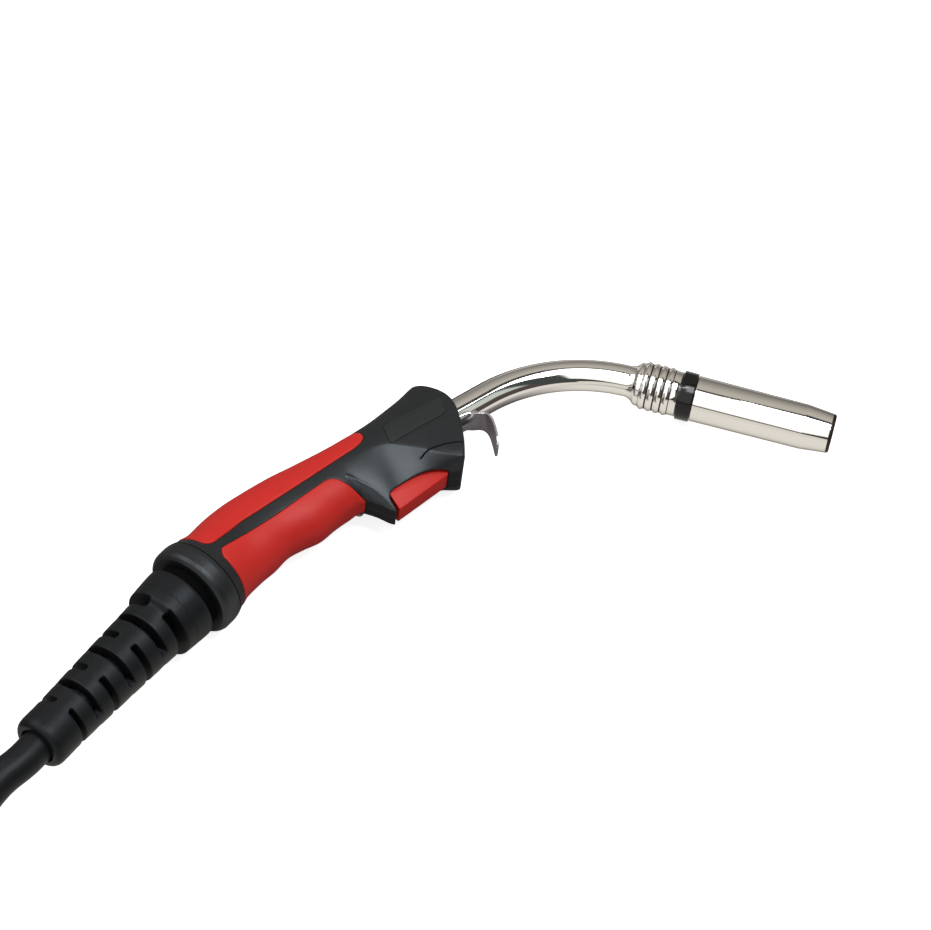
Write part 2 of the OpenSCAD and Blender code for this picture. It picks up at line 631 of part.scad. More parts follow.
module in_switch() { lay() translate([switch_at[0], switch_at[1], 0]) rotate([0, 0, switch_deg]) children(); }
module switch_body() color(DARK) in_switch() difference() {
    translate([-9, -4.6, -3.2]) cube([18, 9.2, 6.4]);
    for (s = [-1, 1]) translate([4.8 * s, 1.6, -10]) cylinder(r = 1.1 + gap, h = 20);
    translate([0, -5, 0]) rotate([-90, 0, 0]) cylinder(r = 1.2 + fit, h = 4);
}
module switch_plunger() color(RED) in_switch() translate([0, -6.8, 0]) rotate([-90, 0, 0])
    cylinder(r = 1.2, h = 4.4);

LEADS = [[131.72, 44.5], [129.6, 45.3], [127.4, 46.0], [122.2, 44.6], [119.8, 40.6], [112, 38.2], [104, 36.2],
    [94, 32.8], [84, 28.6]];
module switch_leads() color(DARK) lay() for (s = [-1, 1])
    loft([for (r = tube_rings([for (p = LEADS) [p[0], p[1], s * 1.8]], 0.8, 8)) r]);

// ---- Hook ----
// Its path starts at the distance HOOK_BACK inside the head, and the rest is told from the neck's
// mouth: along the neck, and then down.
hook_drop = neck_r + 0.3 + hook_t / 2;
HOOK_BACK = 22;
HOOK_DOWN = [[18.83, -4.83], [22.23, -4.53], [25.13, -5.63], [27.23, -8.03], [28.23, -11.23],
    [28.43, -15.23], [28.13, -19.83], [27.43, -24.03], [26.83, -27.03], [26.43, -28.83]];
hook_path = concat(
    [for (b = [HOOK_BACK, 12, 2, -7, -13]) neck_mouth - b * dir(neck_deg) - hook_drop * dir(neck_deg + 90)],
    [for (p = HOOK_DOWN) neck_mouth + p]);
hook_curl = [1, 1, 1, 1, 0.75, 0.25, 0, 0, 0, 0, 0, 0, 0, 0, 0];
hook_half = [1, 1, 1, 1, 1, 1, 1, 1, 1, 1, 1, 1, 0.94, 0.78, 0.5] * hook_w / 2;
module hook() color(STEEL) lay() {
    rows = refined([for (i = [0:len(hook_path) - 1])
        [hook_path[i][0], hook_path[i][1], hook_curl[i], hook_half[i]]], 2);
    strip_loft([for (i = [0:len(rows) - 1])
        let (p = rows[i], t = norm_to(clamped(rows, i + 1) - clamped(rows, i - 1)),
            u = norm_to([t[0], t[1]]), n = [-u[1], u[0]])
        concat([for (j = [-4:4]) hook_point(p, n, j / 4, -hook_t / 2)],
            [for (j = [4:-1:-4]) hook_point(p, n, j / 4, hook_t / 2)])]);
}
// A point across the strip: it wraps round the neck where curl is 1 and is flat where it is 0.
function hook_point(p, n, q, off) =
    let (z = q * p[3], r = hook_drop - off, rise = r - sqrt(r * r - z * z))
    [p[0] + n[0] * (off + p[2] * rise), p[1] + n[1] * (off + p[2] * rise), z];

// ---- Swivel ----
module locking_ring() color(BLACK) at_rear() difference() {
    turned([[collar_rear, 15], [collar_rear, 25.4], [collar_rear + 0.5, 26.4], [collar_rear + 1.6, collar_r - 0.7],
        [collar_rear + 3.4, collar_r], [collar_front - 3.2, collar_r], [collar_front - 0.6, collar_r - 0.4],
        [collar_front, collar_r - 1], [collar_front, collar_in + free], [-2.3, collar_in + free], [-2.3, 15]]);
    sphere(seat_r);
}

module swivel_cable() color(BLACK) lay() intersection() {
    along_rear() translate([0, 0, -2 * swivel_r]) cylinder(r = cable_r, h = 4 * swivel_r);
    sphere(swivel_r);
}

ball_front = 13.5;
ball_neck_r = 17.5;
stem_r = 15;
stem_len = 18;
module swivel_ball() color(DARK) at_rear() difference() {
    union() {
        intersection() {
            sphere(ball_r);
            translate([0, 0, support_front]) cylinder(r = 2 * ball_r, h = ball_front - support_front);
        }
        translate([0, 0, support_front + gap]) cylinder(r = ball_neck_r, h = 8);
        translate([0, 0, support_front - stem_len]) cylinder(r = stem_r, h = stem_len + 2);
    }
    translate([0, 0, -60]) cylinder(r = cable_r + gap, h = 60);
    turned([[-10.2, 0], [-10.2, cable_r + 2.3], [0, cable_r + 0.7], [ball_front + cut, cable_r + 4.2],
        [ball_front + cut, 0]]);
}

// Slots of the cable support: [distance behind its front, width, angle of the first bridge].
slot_pitch = 27.7;
SLOTS = concat([[22.2, 7.6, 0]], [for (i = [0:2]) [36.3 + i * slot_pitch, 6.4, 90]],
    [for (i = [0:2]) [50.3 + i * slot_pitch, 5.3, 0]]);
module cable_support() color(BLACK) at_rear() difference() {
    turned([[support_rear, 0], [support_rear, 13.2], [rim_back, rear_rim], [support_rear + 2.8, 16],
        [support_rear + 6, 16.4], [support_rear + 13, 15.9], [support_rear + 22, 15.7],
        [support_front - 29, 19.2], [support_front - 22.6, 19.7], [support_front - 21.2, 21.2],
        [support_front - 19.4, 22.3], [support_front - 12.8, support_r - 1.1],
        [support_front - 12.3, support_r - 0.7], [support_front - 0.8, support_r],
        [support_front, support_r - 0.9], [support_front, 0]]);
    translate([0, 0, support_front - stem_len - 1]) cylinder(r = stem_r + gap, h = 2 * stem_len);
    translate([0, 0, support_rear - cut]) cylinder(r = cable_r + 0.6, h = 200);
    translate([0, 0, support_rear - cut]) cylinder(r = cable_r + 2, h = 7 + cut);
    for (s = SLOTS) for (k = [0, 180]) rotate([0, 0, s[2] + k + 17])
        translate([0, 0, support_front - s[0] - s[1] / 2])
            rotate_extrude(angle = 146) translate([cable_r - 1, 0]) square([30, s[1]]);
}

module inner_cable() color(BLACK) lay() difference() {
    along_rear() translate([0, 0, cable_joint]) cylinder(r = cable_r, h = -cable_joint);
    sphere(swivel_r + swivel_gap);
}

// ---- Cable ----
// From the support the cable runs down to the floor, into its coil and out again to the plug.
function laid(p) = [cos(lie_deg) * p[0] - origin_x, p[1] - origin_y, lift - sin(lie_deg) * p[0]];
CABLE_ROUTE = [[-281, -99.5, 33], [-294, -108, 30], [-307, -116.5, 25.5], [-320, -125, 20.5],
    [-333, -133.5, 15.8], [-346, -142, 12], [-359, -150.5, 10.25], [-372, -159, 10.25]];
cable_points = concat([for (u = [cable_joint, -120, support_rear, support_rear - 12]) laid(u * dir(rear_deg))],
    CABLE_ROUTE);
coil_start = CABLE_ROUTE[len(CABLE_ROUTE) - 1];
coil_heading = 213.18;
leave_heading = 120;
coil_turns = 3 + (coil_heading - leave_heading) / 360;
coil_pitch = 21.4;
coil_layer = 21;
coil_rings = 24;
coil_centre = [coil_start[0], coil_start[1]] + coil_r * dir(coil_heading - 90);
climb_from = coil_turns / 2 - 0.25;
function coil_radius(t) = coil_r - coil_pitch * min(t, coil_turns - t);
function coil_height(t) = coil_start[2] + coil_layer * smooth(max(0, min(1, (t - climb_from) / 0.5)));
function coil_angle(t) = coil_heading + 90 - 360 * t;
function coil_point(t) = let (c = coil_centre + coil_radius(t) * dir(coil_angle(t)))
    [c[0], c[1], coil_height(t)];
function coil_dir(t) = t < 0.001 ? [cos(coil_heading), sin(coil_heading), 0]
    : t > coil_turns - 0.001 ? [cos(leave_heading), sin(leave_heading), 0]
    : norm_to(coil_point(t + 0.004) - coil_point(t - 0.004));
coil_end = coil_point(coil_turns);
coil_steps = ceil(coil_turns * coil_rings);
COIL = [for (i = [0:coil_steps]) coil_point(coil_turns * i / coil_steps)];
coil_gap = min([for (i = [0:coil_steps]) for (j = [i + 8:1:coil_steps]) norm(COIL[i] - COIL[j])]) - cable_d;
echo(coil_least_gap_mm = coil_gap);

module cable() color(BLACK) loft(tube_rings(cable_points, cable_r, 12));

module cable_coil() color(BLACK) loft([for (i = [0:coil_steps])
    let (t = coil_turns * i / coil_steps) tube_ring(coil_point(t), coil_dir(t), cable_r, 6)]);

// A strap round the two by two turns where they lie over each other.
tie_t = 1.6;
tie_w = 20;
tie_turn = (coil_turns - 3) / 2;
module cable_tie() color(DARK) {
    inner = coil_r - coil_pitch * (1 + tie_turn) - cable_r - gap;
    outer = coil_r - coil_pitch * tie_turn + cable_r + gap;
    top = coil_start[2] + coil_layer + cable_r + gap;
    translate([coil_centre[0], coil_centre[1], 0]) rotate([0, 0, coil_angle(tie_turn)])
        translate([0, tie_w / 2, 0]) rotate([90, 0, 0]) linear_extrude(tie_w) difference() {
            translate([inner - tie_t, 0.2]) square([outer - inner + 2 * tie_t, top + tie_t]);
            translate([inner, -cut]) square([outer - inner, top + cut]);
        }
}

// ---- Plug ----
// The cable leaves its coil on a wider curve and climbs over the turns, and the plug lies on them.
leave_len = 25;
leave_r = coil_r - 43;
leave_end = [coil_end[0], coil_end[1]] + leave_len * dir(leave_heading);
leave_centre = leave_end + leave_r * dir(leave_heading - 90);
plug_lead = 10;
plug_x = leave_centre[0] + plug_lead;
plug_y = leave_centre[1] + leave_r;
plug_z = coil_end[2] + cable_r + free + plug_nut_d / 2;
leave_step = 15;
tail_rise_from = 60;
tail_run = leave_len + leave_r * leave_heading * PI / 180 + plug_lead;
function tail_height(run) = coil_end[2]
    + (plug_z - coil_end[2]) * smooth(max(0, min(1, (run - tail_rise_from) / (tail_run - tail_rise_from))));
body_from = 92;
cover_from = 58;
cover_to = 126;
nut_from = 114;
nut_to = 150;
spigot_to = 176;
cover_r = 21;
tail_points = concat([coil_end, (coil_end + [leave_end[0], leave_end[1], coil_end[2]]) / 2],
    [for (a = [0:leave_step:leave_heading]) let (q = leave_centre + leave_r * dir(leave_heading + 90 - a))
        [q[0], q[1], tail_height(leave_len + leave_r * a * PI / 180)]],
    [for (w = [0, 20, body_from]) [plug_x + w, plug_y, plug_z]]);
// Local Z along the plug, from the rear of its bend relief, and local Y downwards.
module at_plug() { translate([plug_x, plug_y, plug_z]) rotate([0, 90, 0]) rotate([0, 0, -90]) children(); }

module cable_tail() color(BLACK) loft(tube_rings(tail_points, cable_r, 12));

module plug_support() color(BLACK) at_plug() difference() {
    turned([[0, 0], [0, 12.6], [1.5, 13.4], [50, 15.2], [66, 15.4], [66, 17.4], [72, 17.4], [72, 0]]);
    translate([0, 0, -cut]) cylinder(r = cable_r + 0.3, h = 80);
    for (i = [0:4]) for (k = [0, 180]) rotate([0, 0, 90 * (i % 2) + k + 20])
        translate([0, 0, 8 + 8.5 * i]) rotate_extrude(angle = 140)
            translate([cable_r + 1, 0]) square([20, 3]);
}

module cover_half() {
    difference() {
        turned([[cover_from, 0], [cover_from, 17.4], [cover_from + 4, cover_r - 1], [cover_from + 12, cover_r],
            [cover_to, cover_r], [cover_to, 0]]);
        translate([0, 0, cover_from - cut]) cylinder(r = 15.6, h = 40);
        translate([0, 0, 65.8]) cylinder(r = 17.6, h = 6.4);
        translate([0, 0, 76]) cylinder(r = 17.2, h = 40);
        translate([0, 0, 100]) cylinder(r = 16.4, h = 40);
        translate([-30, 0, cover_from - 1]) cube([60, 60, 80]);
    }
    for (s = [-1, 1]) translate([14.6 * s, 0, 84]) rotate([90, 0, 0]) difference() {
        cylinder(r = 4, h = 9.5);
        translate([0, 0, -cut]) cylinder(r = 1.6, h = 20);
    }
}
module plug_cover_top() color(BLACK) at_plug() difference() {
    cover_half();
    cover_screw_holes();
}
module plug_cover_bottom() color(BLACK) at_plug() difference() {
    mirror([0, 1, 0]) cover_half();
    cover_screw_holes();
}
module cover_screw_holes() {
    for (s = [-1, 1]) translate([14.6 * s, 0, 84]) rotate([-90, 0, 0]) {
        translate([0, 0, -8.5]) cylinder(r = 1.6, h = 30);
        translate([0, 0, 9]) cylinder(r = 3.2, h = 30);
    }
}
module plug_screws() color(STEEL) at_plug() for (s = [-1, 1])
    translate([14.6 * s, 0, 84]) rotate([-90, 0, 0]) difference() {
        union() {
            translate([0, 0, -8]) cylinder(r = 1.5, h = 17);
            translate([0, 0, 9]) cylinder(r = 2.9, h = 2);
        }
        translate([0, 0, 10]) cylinder(r = 1.3, h = 5, $fn = 6);
    }

module plug_body() color(BRASS) at_plug() difference() {
    turned([[body_from + gap, 0], [body_from + gap, 9], [104, 9], [104, 13], [118, 13], [118, 16.2],
        [124, 16.2], [124, 0]]);
    translate([0, 0, 90]) cylinder(r = liner_r + gap, h = 60);
}

module plug_insert() color(DARK) at_plug() difference() {
    translate([0, 0, 124 + gap]) cylinder(r = 16.2, h = 12);
    translate([0, 0, 120]) cylinder(r = spigot_d / 2 + fit + 1, h = 30);
    for (s = [-1, 1]) rotate([0, 0, 90 + 28 * s]) translate([11, 0, 128]) cylinder(r = 2.1 + free, h = 20);
}

module plug_spigot() color(BRASS) at_plug() difference() {
    turned([[124 + gap, 0], [124 + gap, spigot_d / 2 + 1], [137, spigot_d / 2 + 1], [137, spigot_d / 2],
        [141, spigot_d / 2], [141, spigot_d / 2 - 1.2], [143.4, spigot_d / 2 - 1.2], [143.4, spigot_d / 2],
        [spigot_to - 1, spigot_d / 2], [spigot_to, spigot_d / 2 - 0.8], [spigot_to, 0]]);
    translate([0, 0, 120]) cylinder(r = liner_r + gap, h = 70);
    translate([0, 0, spigot_to - 3]) hexagon(6.6, 10);
}

module plug_o_ring() color(BLACK) at_plug() translate([0, 0, 142.2]) rotate_extrude()
    translate([spigot_d / 2 - 0.05, 0]) circle(0.95);

module control_pins() color(BRASS) at_plug() for (s = [-1, 1]) rotate([0, 0, 90 + 28 * s])
    translate([11, 0, 128 + pin_travel + free]) {
        cylinder(r = 2.1, h = 22);
        translate([0, 0, 22]) cylinder(r1 = 2.1, r2 = 1.4, h = 1.2);
    }

module plug_nut() color(BLACK) at_plug() difference() {
    turned([[nut_from, 0], [nut_from, plug_nut_d / 2 - 1.5], [nut_from + 1.5, plug_nut_d / 2],
        [nut_to - 1.5, plug_nut_d / 2], [nut_to, plug_nut_d / 2 - 1.5], [nut_to, 0]]);
    for (a = [15:30:345]) rotate([0, 0, a]) translate([plug_nut_d / 2 + 3, 0, nut_from + 4])
        cylinder(r = 5, h = nut_to - nut_from);
    translate([0, 0, nut_from - cut]) cylinder(r = cover_r + free, h = 20);
    translate([0, 0, cover_to - 2]) cylinder(r = 17.6, h = 60);
    translate([0, 0, cover_to - 2]) cylinder(r = cover_r + free, h = 2 + 2 * free);
}

module liner_nut() color(STEEL) at_plug() translate([0, 0, spigot_to - 3 + gap]) difference() {
    hexagon(6.4, 4.5);
    translate([0, 0, -cut]) cylinder(r = 1.3, h = 10);
}

gas_nozzle();
insulating_ring();
nozzle_clip();
contact_tip();
tip_holder();
gas_diffuser();
neck_head();
neck_tube();
neck_insulation();
neck_core();
wire_liner();
neck_nut();
cable_crimp();
handle_cable();
right_shell();
left_shell();
right_top_grip();
left_top_grip();
right_palm_grip();
left_palm_grip();
right_name_plate();
left_name_plate();
shell_screws();
trigger();
trigger_pin();
trigger_spring();
switch_body();
switch_plunger();
switch_leads();
hook();
locking_ring();
swivel_cable();
swivel_ball();
cable_support();
inner_cable();
cable();
cable_coil();
cable_tie();
cable_tail();
plug_support();
plug_cover_top();
plug_cover_bottom();
plug_screws();
plug_body();
plug_insert();
plug_spigot();
plug_o_ring();
control_pins();
plug_nut();
liner_nut();
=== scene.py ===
"""MIG welding torch: camera, cord, detailed pieces, materials and light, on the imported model."""
import math

import bmesh
import bpy
import numpy as np
from mathutils import Matrix, Vector

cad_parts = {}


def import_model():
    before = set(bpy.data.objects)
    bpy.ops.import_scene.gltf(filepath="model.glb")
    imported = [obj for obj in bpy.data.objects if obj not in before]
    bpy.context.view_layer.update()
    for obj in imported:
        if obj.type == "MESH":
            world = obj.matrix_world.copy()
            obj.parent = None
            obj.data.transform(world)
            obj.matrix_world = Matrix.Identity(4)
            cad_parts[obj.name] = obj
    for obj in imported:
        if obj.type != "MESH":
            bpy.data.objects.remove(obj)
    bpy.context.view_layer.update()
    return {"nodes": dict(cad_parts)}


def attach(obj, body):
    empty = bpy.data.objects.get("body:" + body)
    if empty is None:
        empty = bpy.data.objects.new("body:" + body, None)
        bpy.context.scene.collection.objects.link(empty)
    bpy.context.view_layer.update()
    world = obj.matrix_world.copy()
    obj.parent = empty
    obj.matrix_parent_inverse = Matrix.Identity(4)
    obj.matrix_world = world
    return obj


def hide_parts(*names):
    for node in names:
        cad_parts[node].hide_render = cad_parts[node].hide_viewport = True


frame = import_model()
nodes = frame["nodes"]
SCENE = bpy.context.scene
MM = 0.001

# ---- The torch's own frame, as in the part's source, in millimetres ----
# Origin at the swivel ball, +X to the nozzle, +Y to the top of the handle, +Z to its right side.
LIE = math.radians(2.26265)
ORIGIN_X, ORIGIN_Y, LIFT = 135.33623, 4.92144, 28.32208
NECK_DEG, BEND_DEG, REAR_DEG, BEND_R = 18.0, 52.1, 33.2, 101.0
BEND_START = np.array([203.199, 81.4466])


def d2(deg):
    return np.array([math.cos(math.radians(deg)), math.sin(math.radians(deg))])


OUT_DEG = NECK_DEG - BEND_DEG
BEND_CENTRE = BEND_START - BEND_R * d2(NECK_DEG + 90)
BEND_END = BEND_CENTRE + BEND_R * d2(OUT_DEG + 90)
NECK_R, RIB_R, RING_R, NOZZLE_R, MOUTH_R = 9.3, 14.3, 14.7, 13.7, 11.6
FIRST_RIB, RIB_PITCH, RING_FROM, NOZZLE_FROM, NOZZLE_TO = 3.3, 4.64, 28.9, 37.9, 121.9
CONE_LEN, MOUTH_BORE, HEAD_FROM = 17.6, 9.5, -6.0
CABLE_R = 10.25
SUPPORT_FRONT, SUPPORT_REAR = -16.2, -143.2


def world(points):
    """Points of the torch's frame, in the scene's metres."""
    p = np.asarray(points, float).reshape(-1, 3)
    c, s = math.cos(LIE), math.sin(LIE)
    return np.stack([c * p[:, 0] + s * p[:, 2] - ORIGIN_X, p[:, 1] - ORIGIN_Y,
                     LIFT - s * p[:, 0] + c * p[:, 2]], 1) * MM


def on_axis(base, deg, z, r, phi):
    """A point z along an axis in the middle plane, at radius r, phi from the axis's upper side."""
    a, up = d2(deg), d2(deg + 90)
    c = np.asarray(base)[None, :] + np.asarray(z)[:, None] * a[None, :]
    c = c + (np.asarray(r) * np.cos(phi))[:, None] * up[None, :]
    return np.concatenate([c, (np.asarray(r) * np.sin(phi))[:, None]], 1)


def ease(k):
    """k held between 0 and 1, with a smooth start and end."""
    k = max(0.0, min(1.0, k))
    return k * k * (3 - 2 * k)


# ---- Camera ----
CAMERA_AT = Vector((-0.65358, -1.56835, 2.41572))
CAMERA_AZ, CAMERA_EL, CAMERA_ROLL, CAMERA_LENS = -23.404, 53.906, 4.829, 197.085


def make_camera():
    """A long lens at CAMERA_AT, turned by azimuth and elevation, then rolled about its view."""
    data = bpy.data.cameras.new("camera")
    cam = bpy.data.objects.new("camera", data)
    SCENE.collection.objects.link(cam)
    a, e, t = (math.radians(v) for v in (CAMERA_AZ, CAMERA_EL, CAMERA_ROLL))
    back = Vector((math.sin(a) * math.cos(e), -math.cos(a) * math.cos(e), math.sin(e)))
    right = Vector((math.cos(a), math.sin(a), 0))
    up = back.cross(right)
    x = right * math.cos(t) + up * math.sin(t)
    y = back.cross(x)
    m = Matrix((x, y, back)).transposed().to_4x4()
    m.translation = CAMERA_AT
    cam.matrix_world = m
    data.sensor_width, data.lens = 36, CAMERA_LENS
    data.clip_start, data.clip_end = 0.1, 50
    SCENE.camera = cam


make_camera()


# ---- Materials ----
class Nodes:
    """Short names for the maths of one node tree."""

    def __init__(self, tree):
        self.t = tree
        tree.nodes.clear()

    def fill(self, node, sockets):
        for i, v in sockets.items():
            if hasattr(v, "links"):
                self.t.links.new(v, node.inputs[i])
            else:
                node.inputs[i].default_value = v
        return node

    def new(self, kind, *ins, out=0, named=(), **props):
        """A node's output. ins fill its sockets in order, and named fills others."""
        node = self.t.nodes.new("ShaderNode" + kind)
        for k, v in props.items():
            setattr(node, k, v)
        return self.fill(node, {**dict(enumerate(ins)), **dict(named)}).outputs[out]

    def output(self, kind, shader):
        self.fill(self.t.nodes.new("ShaderNodeOutput" + kind), {0: shader})

    def math(self, op, *ins):
        return self.new("Math", *ins, operation=op)

    def ray(self, kind):
        return self.new("LightPath", out=f"Is {kind} Ray")

    def dot(self, v, axis):
        return self.new("VectorMath", v, axis, operation="DOT_PRODUCT", out="Value")

    def step(self, v, lo, hi, to=(0.0, 1.0)):
        return self.new("MapRange", v, lo, hi, *to, interpolation_type="SMOOTHSTEP")

    def band(self, v, at, half, soft):
        """1 within half of at, falling to 0 over soft."""
        away = self.math("ABSOLUTE", self.math("SUBTRACT", v, at))
        return self.math("SUBTRACT", 1.0, self.step(self.math("SUBTRACT", away, half), 0.0, soft))

    def mix(self, f, a, b):
        a, b = (v if hasattr(v, "links") else (*v, 1) for v in (a, b))
        return self.new("Mix", f, named={6: a, 7: b}, data_type="RGBA", out=2)


MAT = {}
FINE_DETAIL, BROAD_DETAIL, BROAD_SCALE, BUMP_HEIGHT, LEAST_ROUGH = 4, 5, 22, 0.0004, 0.02


def material(name, colour, rough, metallic=0.0, grain=900.0, bump=0.05, vary=0.06, rough_vary=0.08,
             specular=0.5, streak=(1, 1, 1), edge=(1, 1, 1)):
    """A shader whose colour, roughness and height vary with fine noise in the object's own space."""
    m = bpy.data.materials.new(name)
    m.use_nodes = True
    n = Nodes(m.node_tree)
    at = n.new("TexCoord", out="Object")
    fine = n.new("TexNoise", n.new("Mapping", at, named={"Scale": streak}),
                 named={"Scale": grain, "Detail": FINE_DETAIL})
    broad = n.new("TexNoise", at, named={"Scale": BROAD_SCALE, "Detail": BROAD_DETAIL})
    shade = n.new("MapRange", broad, 0.3, 0.7, 1 - vary, 1 + vary)
    polish = n.new("MapRange", n.math("ADD", fine, broad), 0.6, 1.4,
                   max(LEAST_ROUGH, rough - rough_vary), rough + rough_vary)
    n.output("Material", n.new("BsdfPrincipled", named={
        "Base Color": n.new("VectorMath", colour, named={"Scale": shade}, operation="SCALE"),
        "Metallic": metallic, "Roughness": polish, "Specular IOR Level": specular,
        "Specular Tint": (*edge, 1),
        "Normal": n.new("Bump", named={"Strength": bump, "Distance": BUMP_HEIGHT, "Height": fine})}))
    m.diffuse_color = (*colour, 1)
    MAT[name] = m


RED, PLASTIC_EDGE, RUBBER_EDGE = (0.58, 0.017, 0.011), (0.86, 0.94, 1.0), (0.84, 0.93, 1.0)
# Name, colour, roughness, metallic, grain, bump, how much colour and roughness vary, specular.
material("chrome", (0.93, 0.92, 0.90), 0.07, 1.0, 260, 0.004, 0.015, 0.03, edge=(0.30, 0.28, 0.26))
material("steel", (0.60, 0.61, 0.63), 0.28, 1.0, 700, 0.06, 0.05, 0.06)
material("bright_steel", (0.66, 0.66, 0.70), 0.16, 1.0, 500, 0.05, 0.04, 0.05, streak=(0.3, 0.3, 3.0))
material("copper", (0.72, 0.40, 0.26), 0.3, 1.0, 500, 0.08, 0.08, 0.08)
material("brass", (0.76, 0.58, 0.26), 0.26, 1.0, 500, 0.05, 0.06, 0.07)
material("white_insulator", (0.82, 0.80, 0.75), 0.55, 0.0, 1500, 0.08, 0.03)
material("black_plastic", (0.0085, 0.009, 0.0098), 0.40, 0.0, 2600, 0.11, 0.10, 0.05, 0.50, edge=PLASTIC_EDGE)
material("dark_plastic", (0.007, 0.0072, 0.0078), 0.5, 0.0, 2600, 0.16, 0.10, 0.05, 0.3)
material("plate_plastic", (0.015, 0.0165, 0.0170), 0.5, 0.0, 2000, 0.06, 0.06, 0.04, 0.35)
material("red_soft_grip", RED, 0.46, 0.0, 3000, 0.22, 0.05, 0.06, 0.34)
material("red_plastic", RED, 0.42, 0.0, 2000, 0.05, 0.03, 0.04, 0.22)
material("black_rubber", (0.0085, 0.009, 0.0095), 0.42, 0.0, 2200, 0.13, 0.10, 0.06, 0.20, edge=RUBBER_EDGE)
material("ring_gloss", (0.006, 0.0062, 0.0066), 0.12, 0.0, 2600, 0.02, 0.1, 0.02, 0.35)
# Painted shade: near black with hardly any gloss, for the bottom of the handle's groove and for the swivel ball,
# where shade falls.
material("shade", (0.0025, 0.0026, 0.0028), 0.85, 0.0, 2200, 0.1, 0.1, 0.05, 0.06)
# Dark brown metal for the nozzle's mouth and bore; in the valleys between the neck's ribs it is painted shade.
material("bore_brown_and_rib_shade", (0.055, 0.042, 0.036), 0.55, 1.0, 900, 0.2, 0.25, 0.1)


# ---- Mesh kernel ----
def piece(name, points, faces, mat, body, replaces, angle=38.0, dark=None, dark_mat="shade"):
    """A mesh that rides on its body, sharp where faces meet at more than angle. The faces that
    dark marks, such as a groove's bottom, take dark_mat, which paints shade on them."""
    mesh = bpy.data.meshes.new(name)
    mesh.from_pydata([tuple(p) for p in np.asarray(points)], [], [tuple(int(i) for i in f) for f in faces])
    mesh.validate()
    mesh.materials.append(MAT[mat])
    if dark is not None:
        mesh.materials.append(MAT[dark_mat])
        mesh.polygons.foreach_set("material_index", np.asarray(dark, np.int32))
    mesh.polygons.foreach_set("use_smooth", [True] * len(mesh.polygons))
    mesh.set_sharp_from_angle(angle=math.radians(angle))
    mesh.update()
    o = bpy.data.objects.new(name, mesh)
    SCENE.collection.objects.link(o)
    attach(o, body)
    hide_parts(*replaces)
    return o


# The least turn that counts as a corner, and the share of a side that its curve may take.
LEAST_TURN, SIDE_SHARE = 0.02, 0.48


def rounded(poly, radius, closed=True, steps=6):
    """The outline with each corner turned into an arc of this radius, or one radius for each corner."""
    p = np.asarray(poly, float)
    out, n = [], len(p)
    rr = radius if hasattr(radius, "__len__") else [radius] * n
    for i in range(n):
        if not closed and i in (0, n - 1):
            out.append(p[i])
            continue
        a, b, c = p[i - 1], p[i], p[(i + 1) % n]
        u, v = a - b, c - b
        lu, lv = np.linalg.norm(u), np.linalg.norm(v)
        cosang = np.clip(u @ v / (lu * lv), -1, 1)
        half = math.acos(cosang) / 2
        if half > math.pi / 2 - LEAST_TURN or rr[i] <= 0:
            out.append(b)
            continue
        t = min(rr[i] / math.tan(half), SIDE_SHARE * lu, SIDE_SHARE * lv)
        r = t * math.tan(half)
        u, v = u / lu, v / lv
        centre = b + (u + v) / np.linalg.norm(u + v) * (r / math.sin(half))
        s, e = b + u * t - centre, b + v * t - centre
        a0, a1 = math.atan2(s[1], s[0]), math.atan2(e[1], e[0])
        da = (a1 - a0 + math.pi) % (2 * math.pi) - math.pi
        for k in range(steps + 1):
            q = a0 + da * k / steps
            out.append(centre + r * np.array([math.cos(q), math.sin(q)]))
    return np.array(out)


def ring_quads(m, n, closed=True):
    """The faces between m rings of n points, from the last ring to the first too if closed."""
    return [(i * n + k, i * n + (k + 1) % n, (i + 1) % m * n + (k + 1) % n, (i + 1) % m * n + k)
            for i in range(m if closed else m - 1) for k in range(n)]


def capped_quads(m, n):
    """The faces of a run of m rings of n points, with both ends shut."""
    return ring_quads(m, n, False) + [tuple(range(n))[::-1], tuple(range((m - 1) * n, m * n))]


def grid_triangles(m, k):
    """Two triangles in each cell of a grid of m rows of k points."""
    i, j = np.meshgrid(np.arange(m - 1), np.arange(k - 1), indexing="ij")
    a = (i * k + j).ravel()
    return np.concatenate([np.stack([a, a + 1, a + k + 1], 1), np.stack([a, a + k + 1, a + k], 1)])


def facing(P, F, outward):
    """The triangles F of the points P, turned over if on the whole they face against outward."""
    t = P[F]
    normals = np.cross(t[:, 1] - t[:, 0], t[:, 2] - t[:, 0])
    return F[:, ::-1] if (normals * outward).sum() < 0 else F


def lathe(name, profile, place, mat, body, replaces, n=128, angle=38.0, **more):
    """A turned piece: profile is [(z, r)], place turns arrays z, r, phi into world points."""
    p = np.asarray(profile, float)
    phi = np.linspace(0, 2 * math.pi, n, endpoint=False)
    pts = place(np.repeat(p[:, 0], n), np.repeat(p[:, 1], n), np.tile(phi, len(p)))
    piece(name, pts, ring_quads(len(p), n), mat, body, replaces, angle, **more)


SAG, SAG_FROM, SAG_OVER = 1.2, -16, 127


def sag(u):
    """How far the support hangs under its axis, u along it from the ball."""
    return SAG * np.clip((SAG_FROM - u) / SAG_OVER, 0, None) ** 2


def at_front(z, r, phi):
    """Points about the nozzle's axis, z on from the bend's end."""
    return world(on_axis(BEND_END, OUT_DEG, z, r, phi))


def at_rear(z, r, phi):
    """Points about the axis of the ball and the support, z forward of the ball."""
    p = on_axis((0, 0), REAR_DEG, z, r, phi)
    p[:, :2] -= np.outer(sag(np.asarray(z, float)), d2(REAR_DEG + 90))
    return world(p)


